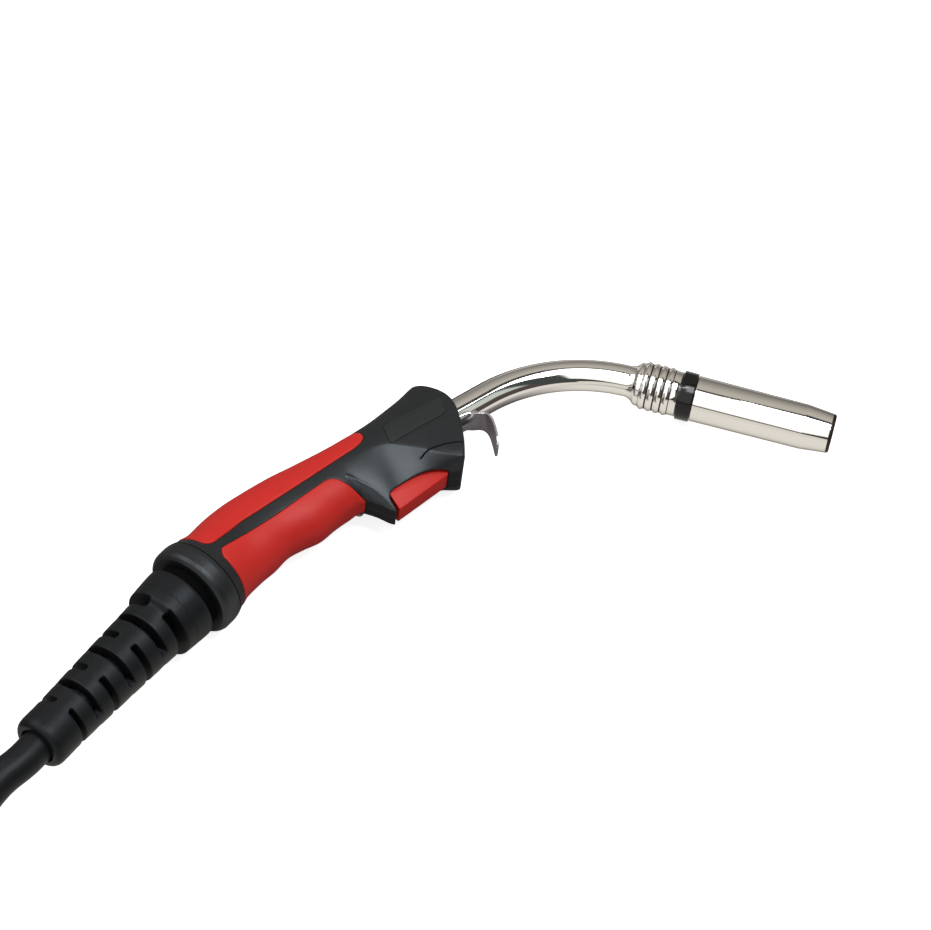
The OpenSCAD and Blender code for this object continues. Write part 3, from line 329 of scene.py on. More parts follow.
def cut(A, F, col, level, snap=0.02):
    """Splits the triangles F of the points A (a row of numbers each) where column col is at level."""
    s = A[:, col] - level
    near = np.abs(s) < snap
    A = A.copy()
    A[near, col] = level
    s[near] = 0
    side = np.sign(s)[F]
    cross = (side > 0).any(1) & (side < 0).any(1)
    keep, C, sc = F[~cross], F[cross], side[cross]
    if not len(C):
        return A, F
    zero = (sc == 0).any(1)
    # One corner on the line: turn it to the front.
    Z, sz = C[zero], sc[zero]
    k = np.argmax(sz == 0, 1)
    r = np.arange(len(Z))
    za, zb, zc = Z[r, k], Z[r, (k + 1) % 3], Z[r, (k + 2) % 3]
    # One corner on its own side: turn it to the front.
    O, so = C[~zero], sc[~zero]
    k = np.argmax(so == -so.sum(1)[:, None], 1)
    r = np.arange(len(O))
    oa, ob, oc = O[r, k], O[r, (k + 1) % 3], O[r, (k + 2) % 3]
    e = np.concatenate([np.stack([zb, zc], 1), np.stack([oa, ob], 1), np.stack([oa, oc], 1)])
    u, inv = np.unique(np.sort(e, 1), axis=0, return_inverse=True)
    s0, s1 = s[u[:, 0]], s[u[:, 1]]
    t = (s0 / (s0 - s1))[:, None]
    new = A[u[:, 0]] * (1 - t) + A[u[:, 1]] * t
    new[:, col] = level
    v, v1, v2 = np.split(len(A) + inv.reshape(-1), [len(Z), len(Z) + len(O)])
    tri = [keep, np.stack([za, zb, v], 1), np.stack([za, v, zc], 1), np.stack([oa, v1, v2], 1),
           np.stack([v1, ob, oc], 1), np.stack([v1, oc, v2], 1)]
    return np.concatenate([A, new]), np.concatenate(tri)


def keep_where(A, F, col, level=0.0):
    """The triangles whose points all lie at or over the level."""
    return F[(A[F, col] >= level - 1e-9).all(1)]


def compact(A, F):
    """A and F without the points that no triangle has."""
    used, inv = np.unique(F, return_inverse=True)
    return A[used], inv.reshape(-1, 3)


def border(F):
    """The mesh's open edges, as (a, b) in the direction of their triangle."""
    e = np.concatenate([F[:, [0, 1]], F[:, [1, 2]], F[:, [2, 0]]])
    _, idx, cnt = np.unique(np.sort(e, 1), axis=0, return_index=True, return_counts=True)
    return e[idx[cnt == 1]]


def outline_distance(xy, poly, closed=True):
    """Distance to an outline in side view: positive inside it, or on the left of an open one."""
    p = np.asarray(poly, float)
    a = p if closed else p[:-1]
    b = np.roll(p, -1, 0) if closed else p[1:]
    best = np.full(len(xy), 1e9)
    inside, left = np.zeros((2, len(xy)), bool)
    for q0, q1 in zip(a, b):
        d = q1 - q0
        w = xy - q0
        t = np.clip(w @ d / max(d @ d, 1e-12), 0, 1)
        away = np.linalg.norm(w - t[:, None] * d, axis=1)
        left = np.where(away < best, d[0] * w[:, 1] - d[1] * w[:, 0] > 0, left)
        best = np.minimum(best, away)
        hit = (q0[1] > xy[:, 1]) != (q1[1] > xy[:, 1])
        x = (q1[0] - q0[0]) * (xy[:, 1] - q0[1]) / (q1[1] - q0[1] + 1e-30) + q0[0]
        inside ^= hit & (xy[:, 0] < x)
    return np.where(inside if closed else left, best, -best)


def walls(e, n):
    """Triangles from the open edges e of a skin to its copy, n points further on."""
    return np.concatenate([np.stack([e[:, 1], e[:, 0], e[:, 0] + n], 1),
                           np.stack([e[:, 1], e[:, 0] + n, e[:, 1] + n], 1)])


def shell_solid(A, F, outer, inner):
    """The skin moved in by outer, its back moved in by inner, and walls along the open edges."""
    top = A[:, 0:3] - A[:, 3:6] * outer[:, None]
    low = A[:, 0:3] - A[:, 3:6] * inner[:, None]
    return np.concatenate([top, low]), np.concatenate([F, F[:, ::-1] + len(A), walls(border(F), len(A))])


# ---- The handle's surface ----
# Half widths of the grip, the head and the flat underside, and the radius at the rear.
GW, HW, SW, REAR_R = 18.0, 18.0, 7.0, 27.6


def rear_line(u, v):
    """A point u along the axis of the handle's rear and v over it."""
    return u * d2(REAR_DEG) + v * d2(REAR_DEG + 90)


def rear_section(u, r):
    c, n = u * d2(REAR_DEG), r * d2(REAR_DEG + 90)
    return [c[0] + n[0], c[1] + n[1], c[0] - n[0], c[1] - n[1], r, 0, 2, 2, 0.2]


# The top of each section x, y, its underside x, y, half its width, the height of its widest
# point, the fullness of its upper and lower curve, and half the width of its flat underside.
SECTIONS = np.array([
    rear_section(4.0, REAR_R), rear_section(10, 25.6), rear_section(17, 24),
    [14.0, 38.2, 38.0, -4.3, GW + 2.2, 0.00, 2.1, 2.1, 0.2],
    [27.5, 45.2, 47.2, 0.7, GW + 0.8, 0.00, 2.2, 2.2, 0.2],
    [40.1, 50.2, 57.4, 7.5, GW + 0.2, 0.00, 2.2, 2.2, 0.2],
    [51.0, 54.2, 68.0, 10.7, GW, 0.00, 2.2, 2.2, 0.2],
    [62.0, 57.7, 79.0, 13.2, GW, 0.00, 2.2, 2.2, 0.3],
    [72.6, 60.3, 89.7, 19.0, GW, 0.00, 2.2, 2.2, 0.5],
    [83.2, 62.8, 99.5, 23.9, GW, 0.02, 2.3, 2.1, 3.0],
    [94.5, 65.9, 107.5, 26.4, HW, 0.08, 2.3, 1.75, 4.0],
    [105.1, 69.2, 114.7, 21.5, HW, 0.18, 2.4, 1.4, SW - 1.2],
    [116.5, 73.9, 123.3, 13.9, HW, 0.28, 2.4, 1.15, SW - 0.3],
    [127.8, 78.7, 131.0, 17.2, HW, 0.18, 2.4, 1.05, SW],
    [140.0, 85.2, 140.0, 22.2, HW, -0.14, 2.4, 1.08, SW],
    [152.0, 91.9, 150.5, 27.4, HW, -0.50, 2.4, 1.15, SW],
    [163.0, 98.9, 160.5, 30.6, HW - 0.4, -0.78, 2.4, 1.3, SW],
    [173.0, 101.8, 170.0, 29.8, HW - 1.0, -0.88, 2.4, 1.3, SW],
    [188.0, 102.8, 185.0, 28.2, HW - 1.6, -0.90, 2.4, 1.3, SW]], float)
FRONT = [[-60, -80], [158, -80], [165.5, 25], [168.8, 27.6], [171.1, 31.4], [173.3, 37.4], [175.6, 45],
         [177.6, 54], [179.1, 62], [180.0, 70], [179.8, 76.6], [178.1, 82.4], [174.9, 87.4], [171.0, 91.8],
         [167.0, 95.4], [162.4, 98.6], [156, 102.6], [150, 150], [-60, 150]]
PALM = [rear_line(13, -5), rear_line(14.5, -3.6), [27.6, 12.0], [48.6, 21.0], [69.8, 30.3], [86.5, 37.6],
        [90.5, 38.6], [94.8, 37.6], [99.8, 34.0], [104.8, 29.6], [109.4, 25.6], [113, 22.4], [119, -30],
        [40, -60], rear_line(10.6, -50), rear_line(10.6, -8)]
TOP_STRIP = [rear_line(9.6, 50), rear_line(9.6, 7), rear_line(11, 4.2), rear_line(14, 2.2), [31.1, 22.6],
             [52.0, 31.4], [73.0, 40.0], [93.9, 48.4], [111, 55.4], [116, 58.2], [119.3, 62.0], [119.2, 66.6],
             [115.4, 69.4], [108, 68.4], [98, 68], [88, 90], [60, 110]]
PLATE = [[132.9, 53.2], [172.3, 67.2], [172.0, 78.9], [132.7, 66.4]]
ARCH = [[125.2, 8], [121.9, 23.6], [126.6, 26.6], [133.6, 29.3], [140, 31.2], [146, 32.3], [151.4, 32.5],
        [156, 32.1], [160, 31.5], [162.2, 30.6], [162.8, 8]]
GROOVE = [[147.0, 39.6], [148.9, 41.1], [151.6, 42.4], [154.7, 43.3], [161.9, 44.4], [169.3, 44.4], [176, 43.2]]
RIDGE = [[101.5, 38.6], [103.4, 37.8], [108.3, 34.2], [114.1, 29.6], [119.4, 22.1], [124.5, 12.0]]
FRONT_R = [0, 0, 3, 6, 20, 20, 30, 30, 30, 30, 20, 14, 10, 6, 3, 2, 0, 0, 0]
PALM_R = [1.5, 3, 30, 60, 60, 9, 5, 9, 30, 40, 40, 0, 0, 0, 0, 2]
TOP_STRIP_R = [0, 2, 3, 6, 40, 60, 60, 60, 12, 6, 5, 4, 4, 6, 4, 0, 0]
ARCH_R = [0, 4, 8, 20, 20, 20, 20, 20, 6, 1.5, 0]
PLATE_R, GROOVE_R, RIDGE_R = 0.9, 6, 12
SCREWS = [[31.2, 37.7], [77, 55.8], [151, 83.4], [108.5, 32.2], [167.6, 47]]
SCREW_HOLE, WALL, PROUD, PLATE_PROUD = 3.1, 2.6, 0.5, 0.2


def catmull(v, n):
    """The rows of v with n steps from each to the next, on a smooth curve through them."""
    out = []
    g = lambda i: v[max(0, min(len(v) - 1, i))]
    for i in range(len(v) - 1):
        a, b, c, d = g(i - 1), g(i), g(i + 1), g(i + 2)
        for k in range(n):
            t = k / n
            out.append(0.5 * (2 * b + (c - a) * t + (2 * a - 5 * b + 4 * c - d) * t * t
                              + (3 * b - a - 3 * c + d) * t ** 3))
    return np.array(out + [v[-1]])


ROW_STEPS, ARC_STEPS, FLAT_STEPS = 8, 26, 4


def handle_grid():
    """The right half of the handle's skin: its points, their normals and its triangles."""
    grid = []
    for s in catmull(SECTIONS, ROW_STEPS):
        top, low = s[0:2], s[2:4]
        mid, up = (top + low) / 2, (top - low) / np.linalg.norm(top - low)
        h, w = np.linalg.norm(top - low) / 2, s[4]
        c, f, nt, nb = s[5] * h, max(0.1, min(s[8], w)), 2 / s[6], 2 / s[7]
        q = [(-h, f * k / FLAT_STEPS) for k in range(FLAT_STEPS)]
        for k in range(ARC_STEPS, 0, -1):
            a = math.pi / 2 * k / ARC_STEPS
            q.append((c - (h + c) * math.sin(a) ** nb, f + (w - f) * max(0, math.cos(a)) ** nb))
        for k in range(ARC_STEPS + 1):
            a = math.pi / 2 * k / ARC_STEPS
            q.append((c + (h - c) * math.sin(a) ** nt, w * max(0, math.cos(a)) ** nt if k < ARC_STEPS else 0))
        grid.append([[*(mid + up * t[0]), t[1]] for t in q])
    g = np.array(grid)
    n = np.cross(np.gradient(g, axis=1), np.gradient(g, axis=0))
    n[:, (0, -1), 2] = 0
    n /= np.maximum(np.linalg.norm(n, axis=2), 1e-9)[:, :, None]
    if n[:, :, 2].sum() < 0:
        n = -n
    P, N, F = g.reshape(-1, 3), n.reshape(-1, 3), grid_triangles(*g.shape[:2])
    return P, N, facing(P, F, N[F[:, 0]])


# Columns of the handle's table: place 0-2, normal 3-5, then distances in side view.
C_FRONT, C_ARCH, C_PALM, C_TOP, C_PLATE, C_GROOVE, C_RIDGE, C_Z, C_SCREW = range(6, 15)
FRONT_ROLL, ARCH_ROLL, SEAM_ROLL, SCREW_ROLL = 1.8, 0.9, 0.3, 0.3
GROOVE_HALF, GROOVE_DEEP, GROOVE_DARK = 0.55, 0.65, 0.3
# The ridge's height and half width, and how far behind the head's front it starts and is whole.
RIDGE_HIGH, RIDGE_HALF, RIDGE_FROM, RIDGE_WHOLE = 0.3, 0.9, 30, 40
# Rolled edges: distance in from the edge, and how deep the surface is there.
BED = [(-0.5, 0), (-0.34, 0.04), (-0.2, 0.14), (-0.1, 0.34), (-0.06, 1.3)]
PAD = [(-0.04, 1.2), (0, 0.25), (0.05, -0.02), (0.16, -0.22), (0.34, -0.38), (0.6, -0.47), (0.9, -PROUD)]
PLATE_BED = [(-0.35, 0), (-0.2, 0.06), (-0.1, 0.2), (-0.06, 0.9)]
PLATE_TOP = [(-0.04, 0.8), (0, 0.1), (0.08, -0.06), (0.2, -0.15), (0.4, -PLATE_PROUD)]


def handle_table():
    """The skin's points as rows of the table, and its triangles."""
    P, N, F = handle_grid()
    xy = P[:, :2]
    inside = [outline_distance(xy, rounded(line, r)) for line, r in (
        (FRONT, FRONT_R), (ARCH, ARCH_R), (PALM, PALM_R), (TOP_STRIP, TOP_STRIP_R), (PLATE, PLATE_R))]
    inside[1] = -inside[1]    # The arch is cut out of the skin.
    beside = [outline_distance(xy, rounded(line, r, False), False) for line, r in (
        (GROOVE, GROOVE_R), (RIDGE, RIDGE_R))]
    screw = np.min([np.linalg.norm(xy - c, axis=1) for c in SCREWS], 0) - SCREW_HOLE
    return np.column_stack([P, N] + inside + beside + [P[:, 2], screw]), F


def roll(d, r):
    """How deep a rolled edge of radius r lies at a distance d in from it."""
    e = np.clip(r - d, 0, r)
    return r - np.sqrt(np.maximum(r * r - e * e, 0))


def roll_levels(r):
    return [r * f for f in (0.03, 0.12, 0.27, 0.5, 0.75, 1.0)]


def along(d, profile):
    x, y = zip(*profile)
    return np.interp(d, x, y)


def base_depth(A):
    """How deep the outer skin lies at each point because of the edges that all its pieces share."""
    groove = GROOVE_DEEP * np.clip(1 - (A[:, C_GROOVE] / GROOVE_HALF) ** 2, 0, 1)
    ridge = np.exp(-(A[:, C_RIDGE] / RIDGE_HALF) ** 2)
    ridge *= np.clip((A[:, C_FRONT] - RIDGE_FROM) / (RIDGE_WHOLE - RIDGE_FROM), 0, 1)
    return np.maximum.reduce([roll(A[:, C_FRONT], FRONT_ROLL), roll(A[:, C_ARCH], ARCH_ROLL),
                              roll(A[:, C_Z], SEAM_ROLL), groove]) - RIDGE_HIGH * ridge


def on_side(points, tris, left):
    """Points and triangles of the right half, or their mirror image, in the scene."""
    return world(points * (1, 1, -1 if left else 1)), tris[:, ::-1] if left else tris


def cut_all(A, F, col, levels, snap=0.02):
    for level in levels:
        A, F = cut(A, F, col, level, snap)
    return A, F


# Each pad's name, column, edge, material and how deep its back lies; then the beds cut for them,
# and the lines in the shell: column, outline, corner radius, and where and how closely to cut.
PADS = (("palm_grip", C_PALM, PAD, "red_soft_grip", 1.3), ("top_grip", C_TOP, PAD, "red_soft_grip", 1.3),
        ("name_plate", C_PLATE, PLATE_TOP, "plate_plastic", 0.85))
BEDS = ((C_PALM, BED), (C_TOP, BED), (C_PLATE, PLATE_BED))
LINES = ((C_GROOVE, GROOVE, GROOVE_R, (-0.55, -0.4, -0.28, -0.1, 0.1, 0.28, 0.4, 0.55), 0.01),
         (C_RIDGE, RIDGE, RIDGE_R, (-1.7, -1.0, -0.5, 0, 0.5, 1.0, 1.7), 0.05))
EDGE_SNAP = 0.008


def make_handle():
    """The two shells with their grips and plates, each half from the same skin."""
    A, F = handle_table()
    for col, r in ((C_FRONT, FRONT_ROLL), (C_ARCH, ARCH_ROLL)):
        A, F = cut_all(A, F, col, [0] + roll_levels(r))
        F = keep_where(A, F, col)
    skin = compact(*cut_all(A, F, C_Z, (0.04, 0.12, 0.3), 0.01))
    for left in (False, True):
        side, half = ("left" if left else "right"), skin
        if left:
            A, F = cut_all(*skin, C_SCREW, (0, 0.08, 0.3))
            half = A, keep_where(A, F, C_SCREW)
        for what, col, profile, mat, back in PADS:
            A, F = cut_all(*half, col, [lv for lv, _ in profile], EDGE_SNAP)
            A, F = compact(A, keep_where(A, F, col, profile[0][0]))
            depth = base_depth(A) + along(A[:, col], profile)
            pts, tris = on_side(*shell_solid(A, F, depth, np.maximum(depth, back)), left)
            piece(f"{side}_{what}_skin", pts, tris, mat, "handle", (f"{side}_{what}",))
        A, F = half
        for col, profile in BEDS:
            A, F = cut_all(A, F, col, [lv for lv, _ in profile], EDGE_SNAP)
        for col, _, _, levels, snap in LINES:
            A, F = cut_all(A, F, col, levels, snap)
        A, F = compact(A, F)
        for col, line, r, _, _ in LINES:
            A[:, col] = outline_distance(A[:, :2], rounded(line, r, False), False)
        depth = base_depth(A) + np.maximum.reduce([along(A[:, col], profile) for col, profile in BEDS])
        if left:
            depth = np.maximum(depth, roll(A[:, C_SCREW], SCREW_ROLL))
        pts, tris = on_side(*shell_solid(A, F, depth, np.full(len(A), WALL)), left)
        front_pts, front_tris = on_side(*head_front(A, F, depth), left)
        # Painted shade: the faces in the bottom of the groove take the black shade material.
        dark = np.zeros(len(tris) + len(front_tris), int)
        dark[:len(F)] = (np.abs(A[F, C_GROOVE]) < GROOVE_DARK).all(1)
        piece(f"{side}_shell_skin", np.concatenate([pts, front_pts]),
              np.concatenate([tris, front_tris + len(pts)]), "black_plastic", "handle", (f"{side}_shell",), dark=dark)


# The head's front face: points across it, the gap round the neck, the slot that the hook comes
# out of (its depth and the angle from below where it ends), the rolled rim and the wall.
FACE_STEPS, NECK_GAP, HOOK_SLOT, HOOK_SLOT_DEG, RIM_ROLL, FACE_WALL = 28, 0.25, 2.0, 64, 0.4, 3.0


def head_front(A, F, depth):
    """The head's front face: from the rolled edge of the side skin straight in to the middle plane."""
    e = border(F)
    e = e[(A[e, C_FRONT] < 1e-6).all(1)]
    following = {int(a): int(b) for a, b in e}
    chain = [(set(following) - set(following.values())).pop()]
    while chain[-1] in following:
        chain.append(following[chain[-1]])
    # Even steps across, so that the hole for the neck comes out round.
    g = np.repeat((A[chain, 0:3] - A[chain, 3:6] * depth[chain][:, None])[:, None, :], FACE_STEPS, 1)
    g[:, :, 2] *= np.linspace(1, 0, FACE_STEPS)
    P, T = g.reshape(-1, 3), grid_triangles(len(chain), FACE_STEPS)
    T = facing(P, T, (1, 0, 0))
    # Distance from the neck's bore and the hook's slot.
    v = (P[:, :2] - BEND_START) @ d2(NECK_DEG + 90)
    rad, ang = np.hypot(v, P[:, 2]), np.degrees(np.arctan2(P[:, 2], -v))
    slot = np.maximum(rad - (NECK_R + HOOK_SLOT), (ang - HOOK_SLOT_DEG) * math.radians(1) * (NECK_R + 1))
    B = np.column_stack([P, np.zeros_like(P), np.minimum(rad - (NECK_R + NECK_GAP), slot)])
    B, T = cut_all(B, T, 6, (0.0, 0.12, 0.4), 0.01)
    B, T = compact(B, keep_where(B, T, 6))
    inward = np.array([*(-d2(NECK_DEG)), 0])
    pts = B[:, :3] + inward * roll(B[:, 6], RIM_ROLL)[:, None]
    e = border(T)
    e = e[(B[e, 6] < 1e-6).all(1)]
    return np.concatenate([pts, pts + inward * FACE_WALL]), np.concatenate([T, walls(e, len(pts))])


# ---- Cord: one cable from the support, down to the floor, into its coil and out to the plug ----
ROUTE = [[-281, -99.5, 33], [-294, -108, 30], [-307, -116.5, 25.5], [-320, -125, 20.5],
         [-333, -133.5, 15.8], [-346, -142, 12], [-359, -150.5, 10.25], [-372, -159, 10.25]]
COIL_HEADING, LEAVE_HEADING = 213.18, 120.0
COIL_R, COIL_PITCH, COIL_LAYER, COIL_RINGS = 135.0, 21.4, 21.0, 24
COIL_TURNS = 3 + (COIL_HEADING - LEAVE_HEADING) / 360
COIL_CENTRE = np.array(ROUTE[-1][:2]) + COIL_R * d2(COIL_HEADING - 90)
CLIMB_TURNS = 0.5
CLIMB_FROM = (COIL_TURNS - CLIMB_TURNS) / 2
LEAVE_LEN, LEAVE_R, PLUG_LEAD, PLUG_RUN = 25.0, COIL_R - 43, 10.0, 20
TAIL_RISE_FROM, PLUG_NUT_R, NUT_GAP, FLOOR_GAP = 60.0, 27.0, 0.3, 0.2


def coil_point(t):
    """A point t turns along the coil: in and up to a second layer, then out again."""
    r = COIL_R - COIL_PITCH * min(t, COIL_TURNS - t)
    return [*(COIL_CENTRE + r * d2(COIL_HEADING + 90 - 360 * t)),
            ROUTE[-1][2] + COIL_LAYER * ease((t - CLIMB_FROM) / CLIMB_TURNS)]


COIL_END = coil_point(COIL_TURNS)
LEAVE_END = np.array(COIL_END[:2]) + LEAVE_LEN * d2(LEAVE_HEADING)
LEAVE_CENTRE = LEAVE_END + LEAVE_R * d2(LEAVE_HEADING - 90)
PLUG_Z = COIL_END[2] + CABLE_R + NUT_GAP + PLUG_NUT_R
TAIL_RUN = LEAVE_LEN + LEAVE_R * math.radians(LEAVE_HEADING) + PLUG_LEAD


def tail_height(run):
    return COIL_END[2] + (PLUG_Z - COIL_END[2]) * ease((run - TAIL_RISE_FROM) / (TAIL_RUN - TAIL_RISE_FROM))


def make_cord():
    steps = math.ceil(COIL_TURNS * COIL_RINGS)
    rear = world([[*rear_line(u, -sag(u)), 0] for u in (SUPPORT_REAR, SUPPORT_REAR - 12)])
    line = [list(p / MM) for p in rear] + ROUTE[:-1]
    line += [coil_point(COIL_TURNS * i / steps) for i in range(steps + 1)]
    line.append([*((np.array(COIL_END[:2]) + LEAVE_END) / 2), COIL_END[2]])
    for a in range(0, int(LEAVE_HEADING) + 1, 15):
        q = LEAVE_CENTRE + LEAVE_R * d2(LEAVE_HEADING + 90 - a)
        line.append([q[0], q[1], tail_height(LEAVE_LEN + LEAVE_R * math.radians(a))])
    line += [[LEAVE_CENTRE[0] + PLUG_LEAD + w, LEAVE_CENTRE[1] + LEAVE_R, PLUG_Z] for w in (0, PLUG_RUN)]
    # The curve swings a little under its points, so they stay this much over the floor.
    line = [[a, b, max(c, CABLE_R + FLOOR_GAP)] for a, b, c in line]
    data = bpy.data.curves.new("cable_cord", "CURVE")
    data.dimensions = "3D"
    s = data.splines.new("BEZIER")
    s.bezier_points.add(len(line) - 1)
    for b, p in zip(s.bezier_points, line):
        b.co = Vector(p) * MM
        b.handle_left_type = b.handle_right_type = "AUTO"
    s.resolution_u = 4
    data.bevel_depth, data.bevel_resolution, data.use_fill_caps = CABLE_R * MM, 8, True
    data.materials.append(MAT["black_rubber"])
    o = bpy.data.objects.new("cable_cord", data)
    SCENE.collection.objects.link(o)
    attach(o, "cable_side")
    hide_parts("cable", "cable_coil", "cable_tail")
    length = np.linalg.norm(np.diff(line, axis=0), axis=1).sum() * MM
    return o, [v * MM for v in line[0]], float(length)


cord, cord_exit, cord_length = make_cord()


# ---- Torch front end ----
def front_pieces():
    cone, slope = NOZZLE_TO - CONE_LEN, NOZZLE_TO - CONE_LEN - 2
    body = [(NOZZLE_FROM, NOZZLE_R - 2.2), (NOZZLE_FROM, NOZZLE_R), (cone, NOZZLE_R - 0.3),
            (NOZZLE_TO - 1.7, MOUTH_R + 0.2), (NOZZLE_TO - 1.7, MOUTH_R - 1), (slope, NOZZLE_R - 1.4),
            (NOZZLE_FROM + 2, NOZZLE_R - 1.5)]
    lathe("nozzle_body", rounded(body, [0.2, 0.5, 6, 0.3, 0.1, 1, 0.3], steps=5), at_front, "chrome", "nozzle",
          ("gas_nozzle",), n=320, angle=50)
    # The mouth and the bore, in dark brown metal.
    bore = [(NOZZLE_TO - 1.75, MOUTH_R + 0.16), (NOZZLE_TO - 0.9, MOUTH_R + 0.05), (NOZZLE_TO, MOUTH_R - 0.6),
            (NOZZLE_TO, MOUTH_BORE), (NOZZLE_TO - 8, MOUTH_BORE), (slope, NOZZLE_R - 1.6),
            (NOZZLE_FROM + 2, NOZZLE_R - 1.6), (NOZZLE_FROM + 2, NOZZLE_R - 1.52), (slope, NOZZLE_R - 1.45)]
    lathe("nozzle_bore", rounded(bore, [0.05, 1.0, 0.4, 0.5, 4, 4, 0, 0, 0], steps=5), at_front, "bore_brown_and_rib_shade",
          "nozzle", ("gas_nozzle",), angle=50)
    ring = [(RING_FROM + 0.1, 12.4), (RING_FROM + 0.1, RING_R), (NOZZLE_FROM - 0.3, RING_R - 0.1),
            (NOZZLE_FROM - 0.3, 12.05), (58, 12.05), (58, 10.85), (RING_FROM + 0.1, 10.85)]
    lathe("insulator_ring", rounded(ring, [0.2, 0.8, 0.8, 0.1, 0.4, 0.3, 0.2], steps=5), at_front, "ring_gloss",
          "handle", ("insulating_ring",), angle=50)


HEAD_STEPS, RIB_HIGH, RIB_TO, VALLEY_HALF = 240, 0.8, FIRST_RIB + 4.5 * RIB_PITCH, 0.42


def neck_head():
    """The neck's ribbed end: a flare, then waves of RIB_PITCH, with painted shade between the ribs."""
    p, start, full = [], HEAD_FROM + 3.2, FIRST_RIB + RIB_PITCH
    for z in np.arange(start, RIB_TO, RIB_PITCH / 20):
        flare = NECK_R + 0.02 + (RIB_R - 0.82 - NECK_R) * ease((z - start) / (full - start))
        wave = math.cos(math.pi * (z - FIRST_RIB) / RIB_PITCH) ** 2
        p.append((z, flare + (RIB_HIGH * wave if z > FIRST_RIB - RIB_PITCH / 2 else 0)))
    p += [(RIB_TO, RIB_R - 0.9), (RING_FROM - 0.4, RIB_R - 1.0), (RING_FROM, RIB_R - 1.4),
          (RING_FROM, 10.6), (52, 10.6), (52, 6.4), (start, 6.4)]
    zs = np.array([q[0] for q in p])
    to = np.roll(zs, -1)
    # Painted shade: the faces in the valley between each pair of ribs take the dark brown metal.
    valley = ((zs > FIRST_RIB + RIB_PITCH / 2) & (to > zs) & (to < RING_FROM - 2)
              & (np.abs(((zs + to) / 2 - FIRST_RIB) % RIB_PITCH - RIB_PITCH / 2) < VALLEY_HALF))
    lathe("neck_head_turned", p, at_front, "chrome", "handle", ("neck_head",), n=HEAD_STEPS, angle=45,
          dark=np.repeat(valley, HEAD_STEPS), dark_mat="bore_brown_and_rib_shade")


def sweep(name, centres, ups, sections, mat, replaces, angle):
    """Skins a run of sections: each is a list of (up, side) offsets about its centre."""
    pts = [[*(c + u * a), b] for c, u, s in zip(centres, ups, sections) for a, b in s]
    piece(name, world(pts), capped_quads(len(centres), len(sections[0])), mat, "handle", replaces, angle)


NECK_SIDES, NECK_BACK, NECK_STEPS = 192, 91, 90


def neck_tube():
    """The neck: straight out of the handle, round the bend and into the ribbed head."""
    ring = [(NECK_R * math.cos(a), NECK_R * math.sin(a))
            for a in np.linspace(0, 2 * math.pi, NECK_SIDES, endpoint=False)]
    run = [(BEND_START - b * d2(NECK_DEG), d2(NECK_DEG + 90)) for b in np.linspace(NECK_BACK, 0, 14)[:-1]]
    for k in range(NECK_STEPS + 1):
        a = d2(NECK_DEG + 90 - BEND_DEG * k / NECK_STEPS)
        run.append((BEND_CENTRE + BEND_R * a, a))
    run += [(BEND_END + b * d2(OUT_DEG), d2(OUT_DEG + 90)) for b in (3, 7.8)]
    centres, ups = zip(*run)
    sweep("neck_tube_bent", centres, ups, [ring] * len(centres), "chrome", ("neck_tube",), 60)


HOOK_W, HOOK_T, HOOK_EDGE = 17.0, 1.2, 0.25
NECK_MOUTH = BEND_START - 33.05 * d2(NECK_DEG)
HOOK_DOWN = [[18.83, -4.83], [22.03, -4.53], [24.73, -5.63], [26.43, -8.03], [27.13, -11.23],
             [27.03, -15.23], [26.53, -19.83], [25.73, -24.03], [25.03, -27.03], [24.53, -28.83]]


def hook_piece():
    """The bent strip: curled about the neck inside the head, and flat where it hangs out of it."""
    t, drop = HOOK_T / 2, NECK_R + 0.3 + HOOK_T / 2
    path = [NECK_MOUTH - b * d2(NECK_DEG) - drop * d2(NECK_DEG + 90) for b in (22, 12, 2, -7, -13)]
    path += [NECK_MOUTH + np.array(p) for p in HOOK_DOWN]
    curl = [1, 1, 1, 1, 0.75, 0.25] + [0] * 9
    half = [HOOK_W / 2 * f for f in [1] * 12 + [0.94, 0.78, 0.5]]
    rows = catmull(np.array([[*p, c, h] for p, c, h in zip(path, curl, half)]), 8)
    ups, sections = [], []
    for i, r in enumerate(rows):
        d = rows[min(i + 1, len(rows) - 1)][:2] - rows[max(i - 1, 0)][:2]
        d /= np.linalg.norm(d)
        ups.append(np.array([-d[1], d[0]]))
        section = []
        for sign in (1, -1):
            side = [(t * sign, z * sign * (r[3] - HOOK_EDGE)) for z in np.linspace(-1, 1, 13)]
            side += [(sign * (t - HOOK_EDGE + HOOK_EDGE * math.sin(a)),
                      sign * (r[3] - HOOK_EDGE + HOOK_EDGE * math.cos(a))) for a in np.radians((60, 30, 0))]
            for off, z in side:
                rad = drop - off
                section.append((off + r[2] * (rad - math.sqrt(rad * rad - z * z)), z))
        sections.append(section[::-1])
    sweep("hook_strip", rows[:, :2], ups, sections, "bright_steel", ("hook",), 50)


def locking_ring():
    p = [(-9.4, 17.8), (-9.4, 25.6), (-7.8, 27.6), (-5.6, 28.3), (0.5, 28.3), (3.1, 27.9), (3.7, 27.3),
         (3.7, 25.9), (-2.3, 25.8), (-2.3, 23.4), (-9.0, 21.4)]
    lathe("collar_ring", rounded(p, [0.5, 1.2, 2.0, 3.0, 3.0, 1.0, 0.5, 0.3, 0.2, 0.4, 0.4]), at_rear,
          "black_plastic", "handle", ("locking_ring",), n=160, angle=50)


# Slots of the cable support: [distance behind its front, width, angle of its first bridge].
SLOTS = [[22.4, 6.0, 0]] + [[36.3 + 27.7 * i, 5.1, 90] for i in range(3)]
SLOTS += [[50.3 + 27.7 * i, 4.5, 0] for i in range(3)]
# Half a slot's reach round the support, the radius that it is measured at, and its corners.
SLOT_HALF_DEG, SLOT_AT_R, SLOT_CORNER, SLOT_ROLL = 73, 17.5, 1.2, 0.7
SUPPORT_STEPS, SUPPORT_WALL = 180, 1.2


